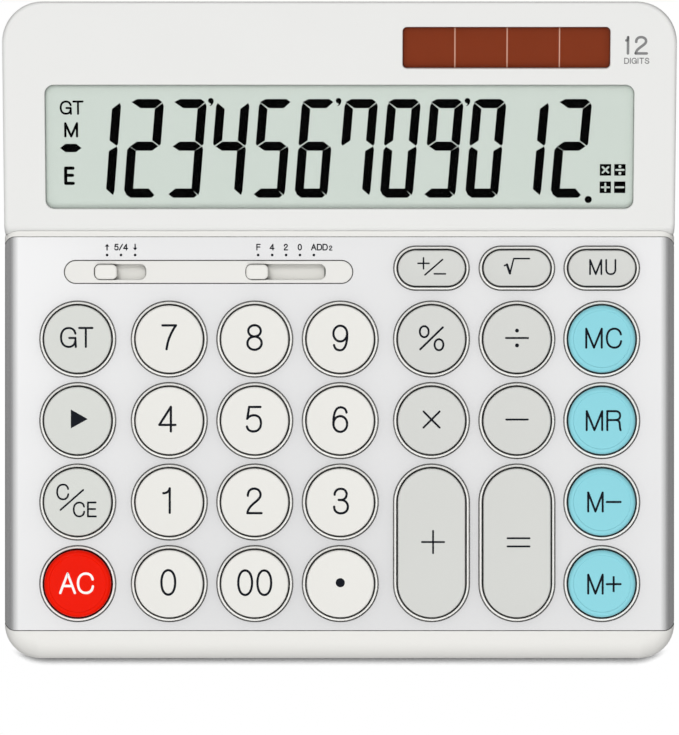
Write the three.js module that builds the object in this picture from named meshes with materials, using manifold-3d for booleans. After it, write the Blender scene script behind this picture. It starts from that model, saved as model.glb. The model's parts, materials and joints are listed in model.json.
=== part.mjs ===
// Desktop calculator with a tilting display head, in millimetres.
// X is right, Y is away from the user and Z is up.
// The deck that carries the keys slopes up to the rear, and the head slopes more than the deck.
// Deck coordinates are x across, u up the deck from the panel's front edge, and w square to the deck.
// Head coordinates are x across, s along the display's face from the hinge axis, and t square to it.
import * as THREE from "three";
import { mergeVertices } from "three/addons/utils/BufferGeometryUtils.js";
import Module from "manifold-3d";

const wasm = await Module();
wasm.setup();

// Whole body
const bodyWidth = 190;
const bodyLength = 185.3;
const deckSlope = THREE.MathUtils.degToRad(4);
const deckFrontHeight = 14;
const frontCornerRadius = 10.8;
const rearCornerRadius = 11.4;
const wall = 2;
const partingDepth = 9;
const partingGap = 0.15;

// Front lip of the upper housing
const lipDepth = 7.9;
const lipDrop = 8;

// Deck panel
const headLength = 64.6;
const panelThickness = 0.5;
const panelSeatGap = 0.1;
const panelRecessGap = 0.15;
const panelSideDrop = 5.5;
const panelCornerRadius = 3;
const sideEdgeRadius = 4.5;
const plateThickness = 2;
const rearStripDepth = 1.2;

// Keys
const keyColumns = 7;
const keySideInset = 20.2;
const leftGroupGap = 1.5;
const rightGroupGap = 1.1;
const frontRowShare = 0.1229;
const rowStepShare = 0.2072;
const pillStepShare = 0.1767;
const keyRadiusShare = 0.4113;
const pillRadiusShare = 0.5526;
const pillSpreadShare = 0.4684;
const keyHeight = 1.8;
const keyDish = 0.4;
const keyEdge = 0.4;
const keyTravel = 1.6;
const keyGap = 0.55;
const keyFlange = 1.2;
const keyFlangeThickness = 1.2;
const collarWall = 0.6;
const collarHeight = 0.25;
const runningGap = 0.3;
const keySides = 12;

// Slide switches
const switchStripSideInset = 16.85;
const switchStripEndX = 3.85;
const switchStripInsetShare = 0.0883;
const switchStripRadius = 3.3;
const switchStepShare = 0.04158;
const roundingSteps = 2;
const decimalSteps = 4;
const roundingSlotShare = 0.1668;
const decimalSlotShare = 0.2026;
const knobLength = 6.3;
const knobWidth = 4.2;
const knobHeight = 1.1;
const knobFlange = 1.2;
const knobRidges = 4;
const knobGrooveShare = 0.2;
const switchBodyWidth = 7.5;
const switchBayGap = 0.5;

// Main board, dome mat and flat cable
const boardThickness = 1.2;
const boardLift = 0.5;
const boardSideGap = 0.8;
const boardFrontInset = 6;
const boardRearInset = 3.2;
const matThickness = 0.8;
const domeRadius = 3.6;
const domeTopRadius = 2.6;
const domeSides = 6;
const seatGap = 0.3;
const closeGap = 0.1;
const cableThickness = 0.4;
const cableHalfWidth = 12;
const cableOverlap = 12;
const cableBend = 1.6;

// Display head and its hinge
const headSlope = THREE.MathUtils.degToRad(14);
const barrelRadius = 9;
const faceHeight = 7.4;
const backHeight = 5.5;
const faceFillet = 3.2;
const faceEdge = 1;
const hingeDepth = 5.2;
const headGap = 0.4;
const trayGap = 0.8;
const troughWall = 1.6;
const headSplit = 2.2;
const headWall = 1.8;
const faceWall = 1.5;
const hingeShare = 0.6484;
const knuckleRadius = 3.4;
const knuckleWidth = 8.6;
const knuckleGap = 0.5;
const notchEdge = 1.95;
const notchLift = 3.1;
const hingeBlockHalf = 9;
const hingeBlockReach = 8;
const pinRadius = 1.2;
const pinLength = 16;
const pinGap = 0.2;
const cableSlotHalf = 13;
const cableNotchLift = 1.2;
const tiltRange = THREE.MathUtils.degToRad(30);

// Display window and its stack
const windowSideInset = 11.9;
const windowFront = 0.5;
const windowRearShare = 0.6204;
const windowCornerRadius = 2.5;
const windowLip = 0.6;
const lensThickness = 0.8;
const lensMargin = 1.5;
const lcdThickness = 1.1;
const lcdMargin = 1.1;
const holderThickness = 0.6;
const holderRim = 1;

// Solar window
const solarCentreShare = 0.4947;
const solarHalfWidthShare = 0.3074;
const solarFrontShare = 0.7016;
const solarRearShare = 0.9042;
const solarMargin = 1.2;
const solarCellThickness = 0.9;

// Underside
const footHeight = 1.5;
const footRadius = 6;
const footPocket = 0.5;
const footSideInset = 17;
const footFrontInset = 20;
const footRearInset = 22;
const ribThickness = 1.5;
const ribSideInset = 13;
const ribPlaceShares = [0.32, 0.68];

// Battery bay
const cellRadius = 7.1;
const cellLength = 50.5;
const cellRearInset = 15.5;
const nubRadius = 2.6;
const nubLength = 1;
const bayEndGap = 0.7;
const bayWall = 1.5;
const bayHeight = 11.5;
const bayDepth = 24;
const doorBayGap = 0.4;
const doorRise = 11.5;
const doorGap = 0.3;
const springLength = 5.2;
const springRadius = 4.2;
const springTipShare = 0.6;
const springWire = 0.45;
const springTurns = 4;
const springTurnSteps = 8;
const springSides = 5;
const contactSide = 9;
const contactThickness = 0.5;

// Screws
const bossRadius = 2.8;
const screwRadius = 1;
const screwHoleGap = 0.3;
const screwHeadRadius = 2.3;
const screwHeadThickness = 1.4;
const frontBossSideInset = 5.9;
const frontBossInset = 44;
const rearBossShare = 0.5263;
const rearBossInset = 22;
const screwBite = 6;
const screwReach = 4.8;
const headBossSideInset = 9;
const headBossRearInset = 9;
const headScrewReach = 1.85;
const screwSides = 8;

const overrun = 1;
const nearZero = 0.001;
const roundSides = 20;
const cornerSteps = 5;

// Places worked out from the sizes above
const halfWidth = bodyWidth / 2;
const frontU = -lipDepth;
const rearU = bodyLength - lipDepth;
const troughRadius = barrelRadius + headGap;
const stripEdgeU = rearU - headLength;
const panelLength = stripEdgeU - rearStripDepth - panelSeatGap;
const hingeU = stripEdgeU + Math.sqrt(troughRadius ** 2 - hingeDepth ** 2);
const hingeW = -hingeDepth;
const recessW = -(panelThickness + panelSeatGap);
const plateW = recessW - plateThickness;
const plateMidW = recessW - plateThickness / 2;
const flangeTopW = plateW - runningGap;
const flangeBottomW = flangeTopW - keyFlangeThickness;
const boardBottomW = boardLift - partingDepth;
const boardTopW = boardBottomW + boardThickness;
const matBottomW = boardTopW + closeGap;
const matTopW = matBottomW + matThickness;
const domeTopW = flangeBottomW - seatGap;
const floorBottom = footHeight;
const floorTop = floorBottom + wall;
const farAway = bodyLength;
const keyPitchX = (bodyWidth - 2 * keySideInset - leftGroupGap - rightGroupGap) / (keyColumns - 1);
const keyPitchY = rowStepShare * panelLength;
const frontRowInset = frontRowShare * panelLength;
const pillRowStep = pillStepShare * panelLength;
const keyRadius = keyRadiusShare * Math.min(keyPitchX, keyPitchY);
const pillRadius = pillRadiusShare * keyRadius;
const pillSpread = pillSpreadShare * keyRadius;
const switchStripInset = switchStripInsetShare * panelLength;
const switchStripStartX = switchStripSideInset - halfWidth;
const switchStep = switchStepShare * halfWidth;
const roundingSlotInset = roundingSlotShare * halfWidth;
const decimalSlotInset = decimalSlotShare * halfWidth;
const frontBossX = halfWidth - frontBossSideInset;
const rearBossX = rearBossShare * halfWidth;
const headBossX = halfWidth - headBossSideInset;
const boardHalfWidth = frontBossX - bossRadius - boardSideGap;
const hingeX = hingeShare * halfWidth;
const faceLength = (rearU - hingeU) / Math.cos(headSlope);
const windowHalfWidth = halfWidth - windowSideInset;
const windowRear = windowRearShare * faceLength;
const solarCentreX = solarCentreShare * halfWidth;
const solarHalfWidth = solarHalfWidthShare * halfWidth;
const solarFront = solarFrontShare * faceLength;
const solarRear = solarRearShare * faceLength;
const footX = halfWidth - footSideInset;
const ribHalfWidth = halfWidth - ribSideInset;
const bayHalfLength = (cellLength + nubLength + springLength + contactThickness) / 2 + bayEndGap;
const doorHalfWidth = bayHalfLength - doorBayGap;

// Frames
const deckMatrix = new THREE.Matrix4()
  .makeTranslation(0, 0, deckFrontHeight)
  .multiply(new THREE.Matrix4().makeRotationX(deckSlope));
const headMatrix = new THREE.Matrix4()
  .makeTranslation(0, hingeU, hingeW)
  .multiply(new THREE.Matrix4().makeRotationX(headSlope));
const deckToHead = headMatrix.clone().invert();
const alongX = new THREE.Matrix4().makeBasis(
  new THREE.Vector3(0, 1, 0),
  new THREE.Vector3(0, 0, 1),
  new THREE.Vector3(1, 0, 0),
);

// A closed geometry as a solid that can be joined and cut.
function solid(geometry, matrix) {
  const shape = geometry.clone();
  for (const name of Object.keys(shape.attributes)) {
    if (name !== "position") shape.deleteAttribute(name);
  }
  if (matrix) shape.applyMatrix4(matrix);
  const merged = mergeVertices(shape);
  const corners = merged.index.array;
  const kept = [];
  for (let i = 0; i < corners.length; i += 3) {
    const [a, b, c] = [corners[i], corners[i + 1], corners[i + 2]];
    if (a !== b && b !== c && c !== a) kept.push(a, b, c);
  }
  return new wasm.Manifold(
    new wasm.Mesh({
      numProp: 3,
      vertProperties: merged.attributes.position.array,
      triVerts: new Uint32Array(kept),
    }),
  );
}

// A solid back as a geometry.
function geometryOf(body) {
  const mesh = body.getMesh();
  const places = new Float32Array(mesh.numVert * 3);
  for (let i = 0; i < mesh.numVert; i++) {
    places.set(mesh.vertProperties.subarray(i * mesh.numProp, i * mesh.numProp + 3), i * 3);
  }
  const geometry = new THREE.BufferGeometry();
  geometry.setAttribute("position", new THREE.BufferAttribute(places, 3));
  geometry.setIndex(new THREE.BufferAttribute(mesh.triVerts, 1));
  geometry.computeVertexNormals();
  return geometry;
}

function joined(bodies) {
  return bodies.reduce((whole, body) => whole.add(body));
}

// A solid moved from one frame to another.
function moved(body, matrix) {
  return solid(geometryOf(body), matrix);
}

function polygon(points) {
  return new THREE.Shape(points.map(([x, y]) => new THREE.Vector2(x, y)));
}

function arcPoints(centreX, centreY, radiusX, radiusY, start, end, steps) {
  return Array.from({ length: steps + 1 }, (_, i) => {
    const angle = start + ((end - start) * i) / steps;
    return [centreX + radiusX * Math.cos(angle), centreY + radiusY * Math.sin(angle)];
  });
}

// A flat outline raised from one height to another.
function prism(shape, bottom, top, matrix) {
  const geometry = new THREE.ExtrudeGeometry(shape, { depth: top - bottom, bevelEnabled: false });
  geometry.translate(0, 0, bottom);
  return solid(geometry, matrix);
}

// A side profile drawn in (u, w), run along X between two places.
function runAlongX(shape, startX, endX, matrix) {
  const geometry = new THREE.ExtrudeGeometry(shape, { depth: endX - startX, bevelEnabled: false });
  geometry.translate(0, 0, startX).applyMatrix4(alongX);
  return solid(geometry, matrix);
}

// A cross-section drawn in (x, w), run along u.
function runAlongU(shape, startU, endU) {
  const geometry = new THREE.ExtrudeGeometry(shape, { depth: endU - startU, bevelEnabled: false });
  geometry.rotateX(Math.PI / 2).translate(0, endU, 0);
  return solid(geometry);
}

function block(x0, x1, y0, y1, z0, z1, matrix) {
  const geometry = new THREE.BoxGeometry(x1 - x0, y1 - y0, z1 - z0);
  geometry.translate((x0 + x1) / 2, (y0 + y1) / 2, (z0 + z1) / 2);
  return solid(geometry, matrix);
}

function post(radius, x, y, bottom, top, sides) {
  const geometry = new THREE.CylinderGeometry(radius, radius, top - bottom, sides);
  geometry.rotateX(Math.PI / 2).translate(x, y, (bottom + top) / 2);
  return solid(geometry);
}

function barX(radius, startX, endX, y, z, sides) {
  const geometry = new THREE.CylinderGeometry(radius, radius, endX - startX, sides);
  geometry.rotateZ(Math.PI / 2).translate((startX + endX) / 2, y, z);
  return solid(geometry);
}

// A rectangle with its own front and rear corner radii.
function roundedOutline(left, right, front, rear, frontRadius, rearRadius) {
  const quarter = Math.PI / 2;
  const corner = (x, y, radius, start) =>
    arcPoints(x, y, radius, radius, start, start + quarter, cornerSteps);
  return polygon([
    ...corner(right - frontRadius, front + frontRadius, frontRadius, -quarter),
    ...corner(right - rearRadius, rear - rearRadius, rearRadius, 0),
    ...corner(left + rearRadius, rear - rearRadius, rearRadius, quarter),
    ...corner(left + frontRadius, front + frontRadius, frontRadius, 2 * quarter),
  ]);
}

// The body's outline seen square to the deck, drawn in by an inset.
function planOutline(inset) {
  return roundedOutline(
    inset - halfWidth,
    halfWidth - inset,
    frontU + inset,
    rearU - inset,
    frontCornerRadius - inset,
    rearCornerRadius - inset,
  );
}

// The deck's cross-section with its rounded side edges, drawn in by an inset.
function deckSection(inset, bottom) {
  const side = halfWidth - inset;
  const radius = sideEdgeRadius - inset;
  const centre = halfWidth - sideEdgeRadius;
  const quarter = Math.PI / 2;
  return polygon([
    [-side, bottom],
    [side, bottom],
    ...arcPoints(centre, -sideEdgeRadius, radius, radius, 0, quarter, cornerSteps),
    ...arcPoints(-centre, -sideEdgeRadius, radius, radius, quarter, 2 * quarter, cornerSteps),
  ]);
}

// Keys: each one has a name, its centre on the deck, its corner radius and how far it is drawn out.
function columnPlaces() {
  const gaps = [0, leftGroupGap, 0, 0, rightGroupGap, 0, 0];
  let x = keySideInset - halfWidth;
  return gaps.map((gap, column) => {
    x += gap + (column ? keyPitchX : 0);
    return x;
  });
}

const columnX = columnPlaces();
const rowU = [0, 1, 2, 3].map((row) => frontRowInset + row * keyPitchY);
const pillU = rowU[3] + pillRowStep;
const numberColour = 0xe8e7e3;
const functionColour = 0xd9d9d9;
const editColour = 0xdcdddb;
const memoryColour = 0x2ab7e6;
const clearColour = 0xf62205;

const roundKeyRows = [
  ["all_clear", "0", "00", "point", null, null, "memory_plus"],
  ["clear_entry", "1", "2", "3", null, null, "memory_minus"],
  ["backspace", "4", "5", "6", "times", "minus", "memory_recall"],
  ["grand_total", "7", "8", "9", "percent", "divide", "memory_clear"],
];

function keyColour(name, column) {
  if (name === "all_clear") return clearColour;
  if (column === 0) return editColour;
  if (column === 6) return memoryColour;
  return column < 4 ? numberColour : functionColour;
}

function keyList() {
  const keys = [];
  roundKeyRows.forEach((names, row) => {
    names.forEach((name, column) => {
      if (!name) return;
      const place = { x: columnX[column], u: rowU[row], radius: keyRadius, spreadX: 0, spreadU: 0 };
      keys.push({ name: "key_" + name, colour: keyColour(name, column), ...place });
    });
  });
  ["plus", "equals"].forEach((name, i) => {
    const place = { x: columnX[4 + i], u: (rowU[0] + rowU[1]) / 2, radius: keyRadius };
    keys.push({ name: "key_" + name, colour: functionColour, ...place, spreadX: 0, spreadU: keyPitchY / 2 });
  });
  ["sign", "root", "mark_up"].forEach((name, i) => {
    const place = { x: columnX[4 + i], u: pillU, radius: pillRadius, spreadX: pillSpread, spreadU: 0 };
    keys.push({ name: "key_" + name, colour: functionColour, ...place });
  });
  return keys;
}

const keys = keyList();

// A turned form pulled apart along its length, so that a disc becomes a long key.
// The polygon goes round the true circle, so its straight sides stand at the radius.
function pulledLathe(profile, spreadX, spreadU, sides) {
  const half = Math.PI / sides;
  const points = profile.map(([radius, height]) => new THREE.Vector2(radius / Math.cos(half), height));
  const geometry = new THREE.LatheGeometry(points, sides, half);
  geometry.rotateX(Math.PI / 2);
  const place = geometry.attributes.position;
  const way = (value) => (Math.abs(value) < nearZero ? 0 : Math.sign(value));
  for (let i = 0; i < place.count; i++) {
    place.setX(i, place.getX(i) + way(place.getX(i)) * spreadX);
    place.setY(i, place.getY(i) + way(place.getY(i)) * spreadU);
  }
  return geometry;
}

// A straight-walled form with a key's outline, grown by a margin.
function keyColumn(key, margin, bottom, top) {
  const radius = key.radius + margin;
  const profile = [[0, bottom], [radius, bottom], [radius, top], [0, top]];
  const geometry = pulledLathe(profile, key.spreadX, key.spreadU, keySides);
  return solid(geometry.translate(key.x, key.u, 0));
}

function keyCap(key) {
  const flange = key.radius + keyFlange;
  return pulledLathe(
    [
      [0, flangeBottomW],
      [flange, flangeBottomW],
      [flange, flangeTopW],
      [key.radius, flangeTopW],
      [key.radius, keyHeight - keyEdge],
      [key.radius - keyEdge, keyHeight],
      [0, keyHeight - keyDish],
    ],
    key.spreadX,
    key.spreadU,
    keySides,
  );
}

// Switches: the strip they share and the slot of each.
const switchU = panelLength - switchStripInset;
const strip = {
  x: (switchStripStartX + switchStripEndX) / 2,
  u: switchU,
  radius: switchStripRadius,
  spreadX: (switchStripEndX - switchStripStartX) / 2 - switchStripRadius,
  spreadU: 0,
};
const switches = [
  {
    name: "rounding_switch_knob",
    x: switchStripStartX + roundingSlotInset,
    travel: roundingSteps * switchStep,
  },
  {
    name: "decimal_switch_knob",
    x: switchStripEndX - decimalSlotInset,
    travel: decimalSteps * switchStep,
  },
];

function knobStart(slider) {
  return slider.x - slider.travel / 2;
}

function knobSlot(slider) {
  const half = (slider.travel + knobLength) / 2 + closeGap;
  const side = knobWidth / 2 + closeGap;
  return block(
    slider.x - half,
    slider.x + half,
    switchU - side,
    switchU + side,
    plateW - overrun,
    collarHeight + overrun,
  );
}

// A knob stands on a shutter that hides the slot wherever the knob is.
function knob(slider) {
  const half = knobLength / 2;
  const side = knobWidth / 2;
  const shutter = half + slider.travel + closeGap;
  const base = block(
    -shutter,
    shutter,
    -side - knobFlange,
    side + knobFlange,
    flangeBottomW,
    flangeTopW,
  );
  const stem = block(-half, half, -side, side, flangeTopW - keyEdge, knobHeight);
  const pitch = knobLength / knobRidges;
  const grooves = Array.from({ length: knobRidges - 1 }, (_, i) => {
    const x = -half + pitch * (i + 1);
    const edge = knobGrooveShare * pitch;
    return block(
      x - edge,
      x + edge,
      -side - overrun,
      side + overrun,
      knobHeight - keyEdge,
      knobHeight + overrun,
    );
  });
  return base.add(stem).subtract(joined(grooves));
}

// Head section in (s, t): face, filleted front edge, hinge barrel and back.
function headSection(inset, faceInset) {
  const face = faceHeight - faceInset;
  const radius = barrelRadius - inset;
  const back = -(backHeight - inset);
  const fillet = faceFillet - faceInset;
  const filletT = face - fillet;
  const filletS = -Math.sqrt((radius - fillet) ** 2 - filletT ** 2);
  const filletTurn = Math.atan2(filletT, filletS);
  const backTurn = 2 * Math.PI + Math.atan2(back, Math.sqrt(radius ** 2 - back ** 2));
  return polygon([
    [farAway, back],
    [farAway, face],
    ...arcPoints(filletS, filletT, fillet, fillet, Math.PI / 2, filletTurn, cornerSteps),
    ...arcPoints(0, 0, radius, radius, filletTurn, backTurn, roundSides / 2).slice(1),
  ]);
}

// The whole head as one block in head coordinates.
function headBlock() {
  const plan = prism(planOutline(0), -farAway, farAway, deckToHead);
  const section = runAlongX(headSection(0, 0), -halfWidth - overrun, halfWidth + overrun);
  return plan.intersect(section).subtract(headFaceEdges());
}

// The narrow bevel along the sides and the rear of the face.
function headFaceEdges() {
  const rearS = (rearU - hingeU + faceHeight * Math.sin(headSlope)) / Math.cos(headSlope);
  const lean = Math.tan(headSlope);
  const rear = polygon([
    [rearS - faceEdge, faceHeight],
    [rearS - faceEdge * lean, faceHeight - faceEdge],
    [rearS + overrun, faceHeight - faceEdge],
    [rearS + overrun, faceHeight + overrun],
    [rearS - faceEdge, faceHeight + overrun],
  ]);
  const side = polygon([
    [halfWidth - faceEdge, faceHeight],
    [halfWidth, faceHeight - faceEdge],
    [halfWidth + overrun, faceHeight - faceEdge],
    [halfWidth + overrun, faceHeight + overrun],
    [halfWidth - faceEdge, faceHeight + overrun],
  ]);
  const right = runAlongU(side, -farAway, farAway);
  const left = moved(right, new THREE.Matrix4().makeRotationZ(Math.PI));
  return joined([runAlongX(rear, -halfWidth - overrun, halfWidth + overrun), right, left]);
}

// Hollow of the head, left solid round each hinge.
function headHollow() {
  const plan = prism(planOutline(headWall), -farAway, farAway, deckToHead);
  const section = runAlongX(headSection(headWall, faceWall), -halfWidth, halfWidth);
  const hinges = [-hingeX, hingeX].map((x) =>
    block(
      x - hingeBlockHalf,
      x + hingeBlockHalf,
      -barrelRadius,
      hingeBlockReach,
      -barrelRadius,
      headSplit,
    ),
  );
  return plan.intersect(section).subtract(joined(hinges));
}

// Room for a knuckle or the cable in the barrel, at rest and tilted.
function barrelNotch(x, half, lift) {
  const far = barrelRadius + overrun;
  const reach = knuckleRadius + knuckleGap;
  const parts = [
    block(x - half, x + half, -far, 0, -far, lift),
    block(x - half, x + half, -far, reach, -far, 0),
    barX(reach, x - half, x + half, 0, 0, roundSides),
  ];
  return moved(joined(parts), new THREE.Matrix4().makeRotationX(-headSlope));
}

// A knuckle's notch also opens the front of the barrel.
function knuckleNotch(x, half) {
  const far = barrelRadius + overrun;
  const front = block(x - half, x + half, -far, notchEdge - barrelRadius, -far, far);
  const turned = moved(front, new THREE.Matrix4().makeRotationX(-headSlope));
  return barrelNotch(x, half, notchLift).add(turned);
}

function barrelNotches() {
  const half = knuckleWidth / 2 + runningGap;
  return joined([
    knuckleNotch(-hingeX, half),
    knuckleNotch(hingeX, half),
    barrelNotch(0, cableSlotHalf, cableNotchLift),
  ]);
}

function headBossPlaces() {
  const s = (rearU - headBossRearInset - hingeU) / Math.cos(headSlope);
  return [-headBossX, headBossX].map((x) => [x, s]);
}

const lensTop = faceHeight - windowLip - closeGap / 2;
const lensBottom = lensTop - lensThickness;
const lcdTop = lensBottom - closeGap;
const lcdBottom = lcdTop - lcdThickness;

function plateOutline(left, right, front, rear, margin, radius) {
  return roundedOutline(left - margin, right + margin, front - margin, rear + margin, radius, radius);
}

function lensOutline(margin) {
  return plateOutline(-windowHalfWidth, windowHalfWidth, windowFront, windowRear, margin, windowCornerRadius);
}

function solarOutline(margin) {
  const left = solarCentreX - solarHalfWidth;
  const right = solarCentreX + solarHalfWidth;
  return plateOutline(left, right, solarFront, solarRear, margin, solarMargin);
}

function displayCover() {
  const half = block(-bodyWidth, bodyWidth, -farAway, farAway, headSplit + closeGap / 2, farAway);
  const bosses = headBossPlaces().map(([x, s]) =>
    post(bossRadius, x, s, headSplit + closeGap / 2, faceHeight - faceWall + overrun / 2, roundSides / 2),
  );
  const pilots = headBossPlaces().map(([x, s]) =>
    post(screwRadius + screwHoleGap, x, s, headSplit - overrun, faceHeight - faceWall, screwSides),
  );
  const rebateTop = faceHeight - windowLip;
  const cuts = [
    prism(lensOutline(0), headSplit, faceHeight + overrun),
    prism(lensOutline(lensMargin + seatGap), headSplit + overrun, rebateTop),
    prism(solarOutline(0), headSplit, faceHeight + overrun),
    prism(solarOutline(solarMargin + seatGap), headSplit + overrun, rebateTop),
    barrelNotches(),
    ...pilots,
  ];
  return headBlock()
    .intersect(half)
    .subtract(headHollow())
    .add(joined(bosses))
    .subtract(joined(cuts));
}

function displayBack() {
  const half = block(-bodyWidth, bodyWidth, -farAway, farAway, -farAway, headSplit - closeGap / 2);
  const bossTop = headSplit - closeGap / 2;
  const bosses = headBossPlaces().map(([x, s]) =>
    post(bossRadius, x, s, -backHeight + headWall / 2, bossTop, roundSides / 2),
  );
  const holes = headBossPlaces().flatMap(([x, s]) => [
    post(screwRadius + screwHoleGap, x, s, -backHeight - overrun, headSplit + overrun, screwSides),
    post(
      screwHeadRadius + screwHoleGap,
      x,
      s,
      -backHeight - overrun,
      -backHeight + screwHeadThickness + screwHoleGap,
      roundSides / 2,
    ),
  ]);
  const pinHoles = [-1, 1].map((side) => {
    const inner = side * (hingeX - hingeBlockHalf - overrun);
    const outer = side * (hingeX + pinLength / 2 + runningGap);
    return barX(pinRadius + pinGap, Math.min(inner, outer), Math.max(inner, outer), 0, 0, roundSides / 2);
  });
  return headBlock()
    .intersect(half)
    .subtract(headHollow())
    .add(joined(bosses))
    .subtract(joined([barrelNotches(), ...holes, ...pinHoles]));
}

function lcdHolder() {
  const margin = lcdMargin + seatGap;
  const outer = prism(lensOutline(margin + holderRim), lcdBottom - closeGap - holderThickness, lcdTop);
  const inner = prism(lensOutline(margin), lcdBottom - closeGap, lcdTop + overrun);
  return outer.subtract(inner);
}

// The space that the head needs over the base, drawn in deck coordinates.
function headClearance(extra) {
  const radius = troughRadius + extra;
  const under = -(backHeight + trayGap + extra);
  const front = Math.sqrt(radius ** 2 - under ** 2);
  const barrel = barX(radius, -halfWidth - overrun, halfWidth + overrun, 0, 0, 2 * roundSides);
  const above = polygon([[0, under], [farAway, under], [farAway, farAway], [0, farAway]]);
  const slab = runAlongX(above, -halfWidth - overrun, halfWidth + overrun);
  const upright = block(
    -halfWidth - overrun,
    halfWidth + overrun,
    -radius,
    front,
    0,
    farAway,
    new THREE.Matrix4().makeRotationX(-headSlope),
  );
  const raised = upright.subtract(
    block(-bodyWidth, bodyWidth, -farAway, -Math.sqrt(troughRadius ** 2 - hingeDepth ** 2), 0, farAway,
      new THREE.Matrix4().makeRotationX(-headSlope)),
  );
  return moved(joined([barrel, slab, raised]), headMatrix);
}

function screwPlaces() {
  const rearY = rearU * Math.cos(deckSlope) - rearBossInset;
  return [
    { x: -frontBossX, y: frontBossInset },
    { x: frontBossX, y: frontBossInset },
    { x: -rearBossX, y: rearY },
    { x: rearBossX, y: rearY },
  ];
}

// Heights in the base frame of the parting plane and of the underside of what stands over a place.
function partingZ(y) {
  return deckFrontHeight + y * Math.tan(deckSlope) - partingDepth / Math.cos(deckSlope);
}

function upperHousing() {
  const top = deckFrontHeight;
  const plan = prism(planOutline(0), -partingDepth, top);
  const quarter = Math.PI / 2;
  const lip = arcPoints(0, -lipDrop, lipDepth, lipDrop, 2 * quarter, quarter, cornerSteps + 2);
  const sideProfile = polygon([
    [frontU, -partingDepth],
    [rearU + overrun, -partingDepth],
    [rearU + overrun, top + overrun],
    [hingeU, top + overrun],
    [hingeU, 0],
    ...lip.reverse(),
  ]);
  const profile = runAlongX(sideProfile, -halfWidth - overrun, halfWidth + overrun);
  const section = runAlongU(deckSection(0, -partingDepth - overrun), frontU - overrun, hingeU);
  const rear = block(
    -halfWidth,
    halfWidth,
    hingeU - overrun,
    rearU + overrun,
    -partingDepth - overrun,
    top + overrun,
  );
  const outer = plan.intersect(profile).intersect(section.add(rear));
  const liner = headClearance(troughWall)
    .intersect(prism(planOutline(wall + closeGap), -farAway, top))
    .intersect(
      block(-halfWidth, halfWidth, frontU, hingeU, -farAway, plateMidW).add(
        block(-halfWidth, halfWidth, hingeU - overrun, rearU, -farAway, top),
      ),
    );
  const bosses = upperBosses();
  const shell = outer.subtract(upperHollow()).add(liner).add(bosses);
  const knuckles = [-hingeX, hingeX].map((x) => knuckle(x));
  const collars = [...keys, strip].map((key) =>
    keyColumn(key, key === strip ? 0 : keyGap + collarWall, plateMidW, collarHeight),
  );
  const holes = keys.map((key) => keyColumn(key, keyGap, plateW - overrun, collarHeight + overrun));
  const pilots = screwPlaces().map(({ x, y }) => {
    const bottom = partingZ(y) - overrun;
    return post(screwRadius + screwHoleGap, x, y, bottom, bottom + overrun + screwBite, screwSides);
  });
  return shell
    .subtract(panelRecess())
    .add(joined(collars))
    .subtract(joined([...holes, ...switches.map(knobSlot)]))
    .subtract(headClearance(0))
    .add(joined(knuckles))
    .subtract(joined(knuckles.map((_, i) => knuckleBore(i ? hingeX : -hingeX))))
    .subtract(cableSlot())
    .subtract(moved(joined(pilots), deckMatrix.clone().invert()));
}

// What the upper housing is hollowed by, in deck coordinates.
function upperHollow() {
  const plan = prism(planOutline(wall), -partingDepth - overrun, deckFrontHeight);
  const quarter = Math.PI / 2;
  const lip = arcPoints(0, -lipDrop, lipDepth - wall, lipDrop + plateW, 2 * quarter, quarter, cornerSteps);
  const deckProfile = polygon([
    [frontU + wall, -partingDepth - overrun],
    [hingeU, -partingDepth - overrun],
    [hingeU, plateW],
    ...lip.reverse(),
  ]);
  const deckPart = runAlongX(deckProfile, -halfWidth, halfWidth).intersect(
    runAlongU(deckSection(wall, -partingDepth - 2 * overrun), frontU, hingeU + overrun),
  );
  const rearPart = block(
    -halfWidth,
    halfWidth,
    hingeU - overrun,
    rearU,
    -partingDepth - overrun,
    deckFrontHeight,
  ).subtract(headClearance(wall));
  return plan.intersect(deckPart.add(rearPart));
}

function upperBosses() {
  const posts = screwPlaces().map(({ x, y }) => post(bossRadius, x, y, partingZ(y), farAway, roundSides / 2));
  const room = prism(planOutline(wall / 2), -partingDepth + closeGap, deckFrontHeight);
  const deckRoom = block(-halfWidth, halfWidth, frontU, hingeU - troughRadius, -farAway, plateW + wall / 2);
  const rearRoom = block(-halfWidth, halfWidth, hingeU, rearU, -farAway, farAway);
  const inside = room.intersect(deckRoom.add(rearRoom.subtract(headClearance(wall / 2))));
  return moved(joined(posts), deckMatrix.clone().invert()).intersect(inside);
}

function panelRecess() {
  const gap = panelRecessGap;
  const outline = roundedOutline(
    -halfWidth - gap,
    halfWidth + gap,
    -gap,
    panelLength + panelSeatGap,
    panelCornerRadius + gap,
    panelCornerRadius + gap,
  );
  const plan = prism(outline, -panelSideDrop - closeGap, overrun);
  const core = runAlongU(deckSection(-recessW, -farAway), frontU, hingeU);
  return plan.subtract(core);
}

function knuckle(x) {
  const half = knuckleWidth / 2;
  const foot = hingeW - troughRadius - troughWall / 2;
  const eye = barX(knuckleRadius, x - half, x + half, hingeU, hingeW, roundSides);
  const arm = block(x - half, x + half, hingeU - knuckleRadius, hingeU + knuckleRadius, foot, hingeW);
  return eye.add(arm);
}

function knuckleBore(x) {
  return barX(pinRadius + pinGap, x - knuckleWidth, x + knuckleWidth, hingeU, hingeW, roundSides / 2);
}

const cableTopW = boardBottomW - seatGap;
const cableBottomW = cableTopW - cableThickness;

function cableSlot() {
  const half = cableHalfWidth + seatGap;
  return block(
    -half,
    half,
    hingeU - troughRadius - 2 * troughWall,
    hingeU - troughRadius / 2,
    cableBottomW - seatGap,
    cableTopW + seatGap,
  );
}

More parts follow.
